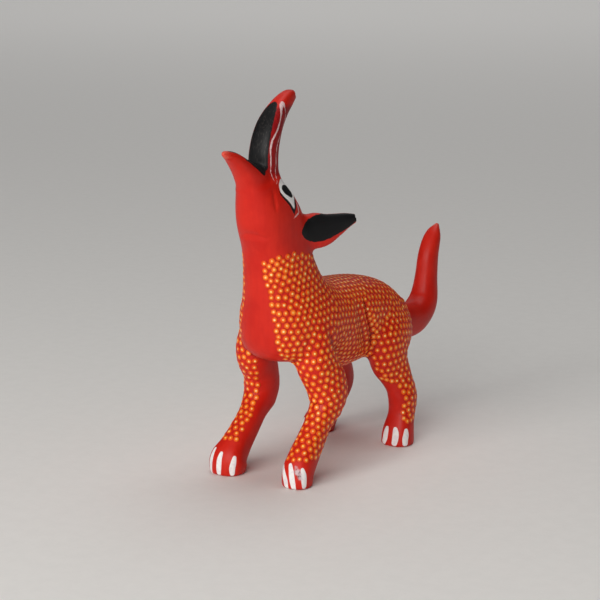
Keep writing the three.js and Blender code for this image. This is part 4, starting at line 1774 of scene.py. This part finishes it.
@dataclass
class CarvedDog:
    """The carved wood and its flat paint."""

    block: Block
    spacing: float = 0.46
    farthest_mark: float = 9.0
    scuff_line: Rows = ((11.8, -20.1, 5.9), (12.6, -20.4, 4.7), (13.3, -20.4, 3.2), (13.6, -20.3, 2.3))
    scuff_half_widths: tuple[float, ...] = (0.6, 0.9, 0.7, 0.3)
    muzzle_share: float = 0.5
    muzzle_reach: float = 3.0
    muzzle_top: float = 101.0
    muzzle_bottom: float = 83.6
    muzzle_gap: float = 0.3
    upright_reach: float = 1.5
    grooves: tuple[Groove, ...] = (THROAT, CHEEK, HAUNCH, FLANK, ELBOW)
    skin: Skin = field(init=False)
    piece: bpy.types.Object = field(init=False)

    def build(self) -> None:
        """Draws the skin, presses the grooves into it and makes it a mesh."""
        net = SkinNet(self.block, self.spacing)
        side = mirrored_to_left(net.points)
        dent = sum(groove.dent(side) for groove in self.grooves)
        points = net.points - Skin(net.points, net.faces).normals * dent[:, None]
        self.skin = Skin(points, net.faces)
        self.piece = mesh_object("carved_dog", to_metres(points), net.faces.tolist())
        self.piece.data.shade_smooth()

    def muzzle(self) -> Array:
        """Measures the dark band along both sides of the muzzle, dark red paint deepened by painted shade.

        Returns:
            The signed distance of each point of the skin in millimetres, negative inside the band.
        """
        points = self.skin.points
        snout = self.block.limbs["snout"]
        reading = snout.read(points)
        band = (self.muzzle_share - np.abs(reading.across) / reading.half_width) * self.muzzle_reach
        band = np.maximum(band, points[:, 2] - self.muzzle_top)
        band = np.maximum(band, self.muzzle_bottom - points[:, 2])
        return np.maximum(band, snout.depth(points) - self.muzzle_gap)

    def uprightness(self) -> Array:
        """Tells how upright the limb is that each point of the skin belongs to.

        Returns:
            Numbers from 0, lying, to 1, upright.
        """
        total = np.zeros(len(self.skin.points))
        weights = np.full(len(self.skin.points), SHORTEST)
        for limb in self.block.limbs.values():
            weight = np.exp(-np.maximum(limb.depth(self.skin.points), 0) / self.upright_reach)
            last = len(limb.middles) - 1
            place = (limb.read(self.skin.points).place * last).astype(int)
            total += weight * np.abs(limb.ahead[place, 2])
            weights += weight
        return total / weights

    def mark(self) -> None:
        """Writes the painted shapes onto the mesh as numbers at its points."""
        skin = self.skin
        marks = FacePaint().measure(skin.points, skin.normals, self.block)
        marks["claws"] = ClawPaint().measure(skin.points, self.block)
        marks["scuff"] = stroke_distance(skin.points, np.array(self.scuff_line), self.scuff_half_widths)
        marks["muzzle"] = self.muzzle()
        marks["bulge"] = skin.bulge
        marks["upright"] = self.uprightness()
        for name, values in marks.items():
            values = np.clip(values, -self.farthest_mark, self.farthest_mark)
            layer = self.piece.data.attributes.new(name, "FLOAT", "POINT")
            layer.data.foreach_set("value", values.astype(np.float32))

    def dress(self, shelf: EffectShelf) -> None:
        """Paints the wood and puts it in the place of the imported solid.

        Args:
            shelf: the shared effects.
        """
        self.mark()
        self.piece.data.materials.append(WoodPaint().material(shelf))
        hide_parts("dog")
        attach(self.piece, "root")


class RowsRun(Enum):
    """Which way the rows of dots run on a limb."""

    ROUND_IT = "round it"
    ALONG_IT = "along it"


@dataclass
class DotPlan:
    """Where the dots go: in rows over each dotted limb, then evened out as a steady hand does."""

    skin: Skin
    block: Block
    ground: DotGround = field(default_factory=DotGround)
    limbs: tuple[tuple[str, RowsRun], ...] = (
        ("barrel", RowsRun.ALONG_IT),
        ("neck", RowsRun.ROUND_IT),
        *(
            (f"{side}_{part}", RowsRun.ROUND_IT)
            for part in ("arm", "forearm", "thigh", "shank")
            for side in ("left", "right")
        ),
    )
    pitch: float = 1.96
    row_gap: float = 0.78
    filler_gap: float = 0.86
    border: float = -0.3
    ring_steps: int = 121
    rough_rounds: int = 8
    fine_rounds: int = 6
    rough_share: int = 4
    rows_settling: tuple[int, float] = (3, 0.8)
    last_settling: tuple[int, float] = (2, 0.5)
    seed: int = 7

    def places(self) -> tuple[Array, Array]:
        """Spreads the dots.

        Returns:
            The dots' places and normals in carving coordinates.
        """
        clearance = self.ground.clearance(self.skin.points, self.skin.normals, self.block)
        inside = clearance > self.border
        ground, weight = self.skin.points[inside], self.skin.areas[inside]
        LOG.info("dotted ground: %.0f square millimetres", weight.sum())
        rows = np.concatenate([self.rows_on(name, run) for name, run in self.limbs])
        rows = rows[inside[self.nearest(self.skin.points, rows)]]
        fillers = np.random.default_rng(self.seed).permutation(ground)
        gaps = np.repeat((self.row_gap, self.filler_gap), (len(rows), len(fillers))) * self.pitch
        dots = self.spaced(np.concatenate((rows, fillers)), gaps)
        LOG.info("%d dots set in rows, %d kept with fillers", len(rows), len(dots))
        for share, rounds in ((self.rough_share, self.rough_rounds), (1, self.fine_rounds)):
            for _ in range(rounds):
                dots = self.centred(dots, ground[::share], weight[::share])
        dots = self.block.onto_skin(dots, *self.last_settling)
        return dots, self.skin.normals[self.nearest(self.skin.points, dots)]

    def centred(self, dots: Array, ground: Array, weight: Array) -> Array:
        """Moves each dot to the middle of the ground that is nearer to it than to any other dot.

        Args:
            dots: the dots.
            ground: points of the dotted ground.
            weight: the area that each of them stands for.

        Returns:
            The moved dots.
        """
        nearest = self.nearest(dots, ground)
        total = np.bincount(nearest, weight, len(dots))
        held = total > 0
        moved = dots.copy()
        for axis in range(3):
            sums = np.bincount(nearest, weight * ground[:, axis], len(dots))
            moved[held, axis] = sums[held] / total[held]
        return moved

    def rows_on(self, name: str, run: RowsRun) -> Array:
        """Sets rows of dots over one limb.

        Args:
            name: the limb.
            run: which way the rows run.

        Returns:
            The dots on the skin, wherever this limb is the outermost one.
        """
        limb = self.block.limbs[name]
        travelled = travelled_along(limb.middles)
        row = math.sqrt(0.75) * self.pitch
        apart, beside = (row, self.pitch) if run is RowsRun.ROUND_IT else (self.pitch / 2, 2 * row)
        halves = [
            self.half_ring(limb, travelled, place, side, beside, beside / 2 * (count % 2))
            for count, place in enumerate(np.arange(apart / 2, travelled[-1], apart))
            for side in (0.0, math.pi)
        ]
        dots = self.block.onto_skin(np.concatenate(halves), *self.rows_settling)
        names = [other for other, _ in self.limbs]
        depths = np.stack([self.block.limbs[other].depth(dots) for other in names])
        return dots[depths.argmin(0) == names.index(name)]

    def half_ring(
        self, limb: Limb, travelled: Array, place: float, side: float, beside: float, shift: float
    ) -> Array:
        """Sets the dots of one ring over one side of a limb, counted from the side's middle line.

        Args:
            limb: the limb.
            travelled: the way along the limb's curve at each of its samples.
            place: how far along the curve the ring is.
            side: the angle of the side's middle line.
            beside: the way from dot to dot round the ring.
            shift: how far the ring's dots are moved round it.

        Returns:
            The dots.
        """

        def there(table: Array) -> Array:
            """Reads a table of the limb at the ring's place."""
            return np.array([np.interp(place, travelled, column) for column in table.T])

        girth = there(limb.girths)
        angle = side + np.linspace(-math.pi / 2, math.pi / 2, self.ring_steps)
        power = 2 / limb.squareness
        across = np.sign(np.cos(angle)) * np.abs(np.cos(angle)) ** power * girth[0]
        reach = np.where(np.sin(angle) < 0, girth[1], girth[2])
        back = np.sign(np.sin(angle)) * np.abs(np.sin(angle)) ** power * reach
        offset = np.outer(across, there(limb.width)) + np.outer(back, there(limb.depth_axis))
        ring = there(limb.middles) + offset
        around = travelled_along(ring)
        marks = np.arange((around[self.ring_steps // 2] + shift) % beside, around[-1], beside)
        return np.column_stack([np.interp(marks, around, column) for column in ring.T])

    def spaced(self, candidates: Array, gaps: Array) -> Array:
        """Picks points in order, each only if it keeps its own gap to all that were picked before.

        Args:
            candidates: the points.
            gaps: the gap that each of them keeps.

        Returns:
            The picked points.
        """
        cells: dict[tuple[int, ...], list[int]] = {}
        keys = np.floor(candidates / gaps.max()).astype(int)
        chosen = []
        for index, key in enumerate(keys):
            rivals = [
                other
                for step in product((-1, 0, 1), repeat=3)
                for other in cells.get((key[0] + step[0], key[1] + step[1], key[2] + step[2]), ())
            ]
            away = ((candidates[rivals] - candidates[index]) ** 2).sum(1)
            if (away < gaps[index] ** 2).any():
                continue
            cells.setdefault(tuple(key), []).append(index)
            chosen.append(index)
        return candidates[chosen]

    @staticmethod
    def nearest(targets: Array, points: Array) -> Array:
        """Finds the nearest target of each point.

        Args:
            targets: the targets.
            points: the points.

        Returns:
            The number of each point's target.
        """
        tree = KDTree(len(targets))
        for index, target in enumerate(targets):
            tree.insert(target, index)
        tree.balance()
        return np.array([tree.find(point)[1] for point in points])


class Draw(Enum):
    """What a dot's random numbers are drawn for, with the number that keeps the draws apart."""

    LENGTH = 1
    BREADTH = 2
    SIZE = 3
    SPIN = 4
    TINT = 5


@dataclass
class PaintDrops:
    """One colour of dots: small domes of thick paint that follow the skin."""

    name: str
    paint: DropPaint
    radius: float
    rise: float
    lift: float
    rings: int
    seed: int
    sides: int = 12
    spread: float = 0.05
    sunk: float = 0.05
    dip: float = 0.12
    roundness: float = 2.2
    flat_below: float = 0.001
    rim_beyond: float = 0.5
    bench: NodeBench = field(init=False)
    given: Sockets = field(init=False)
    piece: bpy.types.Object = field(init=False)

    def tree(self) -> bpy.types.NodeTree:
        """Builds the node tree that sets a dome on each dot's place and bends it onto the skin.

        Returns:
            The tree, with named inputs.
        """
        tree = bpy.data.node_groups.new(self.name, "GeometryNodeTree")
        for kind, names in (
            ("Geometry", ("Places",)),
            ("Object", ("Skin",)),
            ("Float", ("Radius", "Rise", "Lift", "Sunk", "Dip", "Spread")),
            ("Int", ("Sides", "Rings", "Seed")),
            ("Material", ("Paint",)),
        ):
            for name in names:
                tree.interface.new_socket(name, in_out="INPUT", socket_type=f"NodeSocket{kind}")
        tree.interface.new_socket("Drops", in_out="OUTPUT", socket_type="NodeSocketGeometry")
        bench = self.bench = NodeBench(tree)
        self.given = bench.node("NodeGroupInput").outputs
        inputs = {
            "Points": self.given["Places"],
            "Instance": self.unit_drop(),
            "Rotation": self.turned(),
            "Scale": self.sized(),
        }
        placed = bench.first("GeometryNodeInstanceOnPoints", inputs)
        tinted = self.noted(placed, "tint", self.drawn(Draw.TINT, 0.0, 1.0), "INSTANCE")
        loose = bench.first("GeometryNodeRealizeInstances", {"Geometry": tinted})
        smooth = bench.first("GeometryNodeSetShadeSmooth", {"Geometry": self.settled(loose)})
        last = bench.first("GeometryNodeRealizeInstances", {"Geometry": smooth})
        inputs = {"Geometry": last, "Material": self.given["Paint"]}
        bench.node("NodeGroupOutput", {"Drops": bench.first("GeometryNodeSetMaterial", inputs)})
        return tree

    def noted(self, geometry: Socket, name: str, value: Socket, domain: str) -> Socket:
        """Writes a number onto the points or instances of a geometry."""
        inputs = {"Geometry": geometry, "Name": name, "Value": value}
        return self.bench.first("GeometryNodeStoreNamedAttribute", inputs, domain=domain)

    def read(self, name: str, kind: str) -> Socket:
        """Reads what is noted on the points."""
        inputs = {"Name": name}
        return self.bench.first("GeometryNodeInputNamedAttribute", inputs, data_type=kind)

    def drawn(self, draw: Draw, low: Value, high: Value) -> Socket:
        """Draws a number for each dot.

        Args:
            draw: what it is drawn for.
            low: the lowest number.
            high: the highest number.

        Returns:
            The number.
        """
        seed = self.bench.math("ADD", self.given["Seed"], draw.value)
        inputs = {2: low, 3: high, "Seed": seed}
        return self.bench.node("FunctionNodeRandomValue", inputs, data_type="FLOAT").outputs[1]

    def sized(self) -> Socket:
        """Makes each dot a little larger or smaller, and longer or broader.

        Returns:
            The dot's scale.
        """
        bench, radius = self.bench, self.given["Radius"]
        spread = (
            bench.math("SUBTRACT", 1.0, self.given["Spread"]),
            bench.math("ADD", 1.0, self.given["Spread"]),
        )
        size = bench.math("MULTIPLY", self.drawn(Draw.SIZE, *spread), radius)
        length = bench.math("MULTIPLY", self.drawn(Draw.LENGTH, *spread), size)
        breadth = bench.math("MULTIPLY", self.drawn(Draw.BREADTH, *spread), size)
        return bench.first("ShaderNodeCombineXYZ", {"X": length, "Y": breadth, "Z": radius})

    def turned(self) -> Socket:
        """Turns each dot to face outwards, and spins it.

        Returns:
            The dot's rotation.
        """
        facing = self.bench.first(
            "FunctionNodeAlignEulerToVector", {"Vector": self.read("outward", "FLOAT_VECTOR")}, axis="Z"
        )
        inputs = {"Rotation": facing, "Angle": self.drawn(Draw.SPIN, 0.0, math.tau)}
        return self.bench.first(
            "FunctionNodeRotateEuler", inputs, rotation_type="AXIS_ANGLE", space="LOCAL"
        )

    def unit_drop(self) -> Socket:
        """Makes a flat round drop of radius one that remembers how high each point will stand.

        Returns:
            The drop, with the heights in its attribute "stand".
        """
        bench, given = self.bench, self.given
        inputs = {
            "Vertices": given["Sides"],
            "Side Segments": given["Rings"],
            "Radius Top": 0.0,
            "Radius Bottom": 1.0,
            "Depth": 1.0,
        }
        cone = bench.first("GeometryNodeMeshCone", inputs, fill_type="TRIANGLE_FAN")
        place = bench.first("GeometryNodeInputPosition")
        parts = bench.node("ShaderNodeSeparateXYZ", {0: place}).outputs
        away = bench.math("SUBTRACT", 1.0, parts["Z"])
        dome = bench.math("SUBTRACT", 1.0, bench.math("POWER", away, self.roundness))
        on_top = bench.math("GREATER_THAN", parts["Z"], self.flat_below)
        high = bench.math("MULTIPLY_ADD", dome, given["Rise"], given["Lift"])
        sunk = bench.math("MULTIPLY", given["Sunk"], -1.0)
        rim = bench.math("SUBTRACT", given["Lift"], bench.math("MULTIPLY", given["Rise"], given["Dip"]))
        beside = bench.vector("LENGTH", place).outputs["Value"]
        at_rim = bench.math("GREATER_THAN", beside, self.rim_beyond)
        low = bench.math("MULTIPLY_ADD", bench.math("SUBTRACT", rim, sunk), at_rim, sunk)
        stand = bench.math("MULTIPLY_ADD", bench.math("SUBTRACT", high, low), on_top, low)
        level = bench.first("ShaderNodeCombineXYZ", {"X": parts["X"], "Y": parts["Y"]})
        inputs = {"Geometry": self.noted(cone, "stand", stand, "POINT"), "Position": level}
        return bench.first("GeometryNodeSetPosition", inputs)

    def settled(self, drops: Socket) -> Socket:
        """Sets every point of the drops at its height over the nearest place of the skin.

        Args:
            drops: the flat drops.

        Returns:
            The drops on the skin.
        """
        bench = self.bench
        inputs = {"Object": self.given["Skin"]}
        skin = bench.node("GeometryNodeObjectInfo", inputs, transform_space="ORIGINAL").outputs["Geometry"]
        near = bench.node("GeometryNodeProximity", {0: skin}, target_element="FACES").outputs["Position"]
        inputs = {"Mesh": skin, "Value": bench.first("GeometryNodeInputNormal")}
        normal = bench.first("GeometryNodeSampleNearestSurface", inputs, data_type="FLOAT_VECTOR")
        straight = bench.vector("NORMALIZE", normal).outputs[0]
        inputs = {0: straight, "Scale": self.read("stand", "FLOAT")}
        raised = bench.first("ShaderNodeVectorMath", inputs, operation="SCALE")
        moved = bench.vector("ADD", near, raised).outputs[0]
        return bench.first("GeometryNodeSetPosition", {"Geometry": drops, "Position": moved})

    def build(self, places: Array, normals: Array, dog: CarvedDog, shelf: EffectShelf) -> None:
        """Sets the drops.

        Args:
            places: the dots' places in carving coordinates.
            normals: the skin's normals there.
            dog: the carved dog that they lie on.
            shelf: the shared effects.
        """
        marks = mesh_object(f"{self.name}_places", to_metres(places), [])
        outward = marks.data.attributes.new("outward", "FLOAT_VECTOR", "POINT")
        outward.data.foreach_set("vector", normals.astype(np.float32).ravel())
        tree = self.tree()
        modifier = marks.modifiers.new("drops", "NODES")
        modifier.node_group = tree
        paint = self.paint.material(shelf)
        values = {
            "Skin": dog.piece,
            "Radius": self.radius * MILLIMETRE,
            "Rise": self.rise * MILLIMETRE,
            "Lift": self.lift * MILLIMETRE,
            "Sunk": self.sunk * MILLIMETRE,
            "Dip": self.dip,
            "Spread": self.spread,
            "Sides": self.sides,
            "Rings": self.rings,
            "Seed": self.seed,
            "Paint": paint,
        }
        for item in tree.interface.items_tree:
            if item.name in values:
                modifier[item.identifier] = values[item.name]
        bpy.context.view_layer.update()
        evaluated = marks.evaluated_get(bpy.context.evaluated_depsgraph_get())
        mesh = bpy.data.meshes.new_from_object(evaluated)
        mesh.name = self.name
        mesh.materials.clear()
        mesh.materials.append(paint)
        marks.modifiers.remove(modifier)
        bpy.data.objects.remove(marks)
        self.piece = bpy.data.objects.new(self.name, mesh)
        bpy.context.scene.collection.objects.link(self.piece)

    def dress(self) -> None:
        """Puts the drops on the dog's body."""
        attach(self.piece, "root")


@dataclass(frozen=True)
class SoftLight:
    """One large soft studio lamp, which faces the dog unless it is given a place of its own."""

    name: str
    place: tuple[float, float, float]
    size: tuple[float, float]
    power: float
    colour: Colour = (1.0, 1.0, 1.0)
    faces: tuple[float, float, float] | None = None

    def hang(self, dog: Vector) -> None:
        """Hangs the lamp.

        Args:
            dog: the dog's middle.
        """
        target = Vector(self.faces) if self.faces else dog
        lamp = bpy.data.lights.new(self.name, "AREA")
        lamp.shape = "RECTANGLE"
        lamp.size, lamp.size_y = self.size
        lamp.energy = self.power
        lamp.color = self.colour
        held = bpy.data.objects.new(self.name, lamp)
        bpy.context.scene.collection.objects.link(held)
        held.location = self.place
        held.rotation_euler = (target - held.location).to_track_quat("-Z", "Y").to_euler()


@dataclass
class Studio:
    """The floor, the lights and the camera."""

    aim: tuple[float, float, float] = (0.0, 0.0, 50.0)
    azimuth: float = 32.9
    elevation: float = 11.58
    distance: float = 500.0
    focal_pixels: float = 1818.2
    picture_side: float = 600.0
    sensor: float = 36.0
    shift_pixels: tuple[float, float] = (0.1, -11.48)
    nearest_seen: float = 10.0
    floor_side: float = 24.0
    air: Colour = (0.86, 0.88, 0.92)
    air_strength: float = 0.02
    lights: tuple[SoftLight, ...] = (
        SoftLight("window_light", (0.1, -0.9, 0.45), (0.9, 0.5), 8.6, (1.0, 0.98, 0.95)),
        SoftLight("floor_light", (-1.4, 2.4, 1.4), (3.0, 3.0), 15.0, faces=(-1.4, 2.4, 0.0)),
    )
    top_light_power: float = 0.85
    top_light_spread: float = 40.0
    top_light_tilt: float = 18.0

    def build(self, shelf: EffectShelf) -> None:
        """Sets up floor, lights, air and camera.

        Args:
            shelf: the shared effects.
        """
        half = self.floor_side / 2
        corners = np.array([(-half, -half, 0), (half, -half, 0), (half, half, 0), (-half, half, 0)])
        floor = mesh_object("pale_floor", corners, [(0, 1, 2, 3)])
        floor.data.materials.append(FloorPaint().material(shelf))
        aim = Vector(to_metres(np.array(self.aim)))
        for light in self.lights:
            light.hang(aim)
        self.light_from_above()
        self.fill_with_air()
        self.stand_camera(aim)

    def light_from_above(self) -> None:
        """Lights the whole floor evenly and softly from above and a little from behind."""
        lamp = bpy.data.lights.new("top_light", "SUN")
        lamp.energy = self.top_light_power
        lamp.angle = math.radians(self.top_light_spread)
        held = bpy.data.objects.new("top_light", lamp)
        held.rotation_euler = (-math.radians(self.top_light_tilt), 0.0, 0.0)
        bpy.context.scene.collection.objects.link(held)

    def fill_with_air(self) -> None:
        """Fills the shadows a little from all around."""
        world = bpy.data.worlds.new("soft_air")
        world.use_nodes = True
        sky = world.node_tree.nodes["Background"]
        sky.inputs["Color"].default_value = (*self.air, 1.0)
        sky.inputs["Strength"].default_value = self.air_strength
        bpy.context.scene.world = world
        bpy.context.scene.view_settings.view_transform = "Standard"

    def stand_camera(self, aim: Vector) -> None:
        """Stands the camera where the photograph was taken from.

        Args:
            aim: the place that it looks at.
        """
        turn, rise = math.radians(self.azimuth), math.radians(self.elevation)
        back = Vector(
            (math.sin(turn) * math.cos(rise), -math.cos(turn) * math.cos(rise), math.sin(rise))
        )
        right = Vector((math.cos(turn), math.sin(turn), 0.0))
        lens = bpy.data.cameras.new("photo_camera")
        lens.sensor_width = self.sensor
        lens.lens = self.focal_pixels / self.picture_side * self.sensor
        lens.shift_x = self.shift_pixels[0] / self.picture_side
        lens.shift_y = self.shift_pixels[1] / self.picture_side
        lens.clip_start = self.nearest_seen * MILLIMETRE
        camera = bpy.data.objects.new("photo_camera", lens)
        bpy.context.scene.collection.objects.link(camera)
        turned = Matrix((right, back.cross(right), back)).transposed().to_4x4()
        place = aim + back * self.distance * MILLIMETRE
        camera.matrix_world = Matrix.Translation(place) @ turned
        bpy.context.scene.camera = camera


def report_piece(piece: bpy.types.Object) -> None:
    """Writes a line on a finished piece to the log."""
    triangles = sum(len(face.vertices) - 2 for face in piece.data.polygons)
    LOG.info("%s: %d triangles", piece.name, triangles)


def main() -> None:
    """Builds the dog, its dots and the studio."""
    logging.basicConfig(level=logging.INFO, format="%(name)s: %(message)s")
    shelf = EffectShelf()
    dog = CarvedDog(block_of_wood())
    dog.build()
    dog.dress(shelf)
    report_piece(dog.piece)
    places, normals = DotPlan(dog.skin, dog.block).places()
    LOG.info("%d dots", len(places))
    orange = PaintDrops(
        "orange_dots", ORANGE_PAINT, radius=0.98, rise=0.08, lift=0.0, rings=3, seed=11
    )
    yellow = PaintDrops(
        "yellow_dots", YELLOW_PAINT, radius=0.45, rise=0.065, lift=0.045, rings=2, seed=23, sunk=0.02
    )
    for drops in (orange, yellow):
        drops.build(places, normals, dog, shelf)
        drops.dress()
        report_piece(drops.piece)
    Studio().build(shelf)


if __name__ == "__main__":
    main()
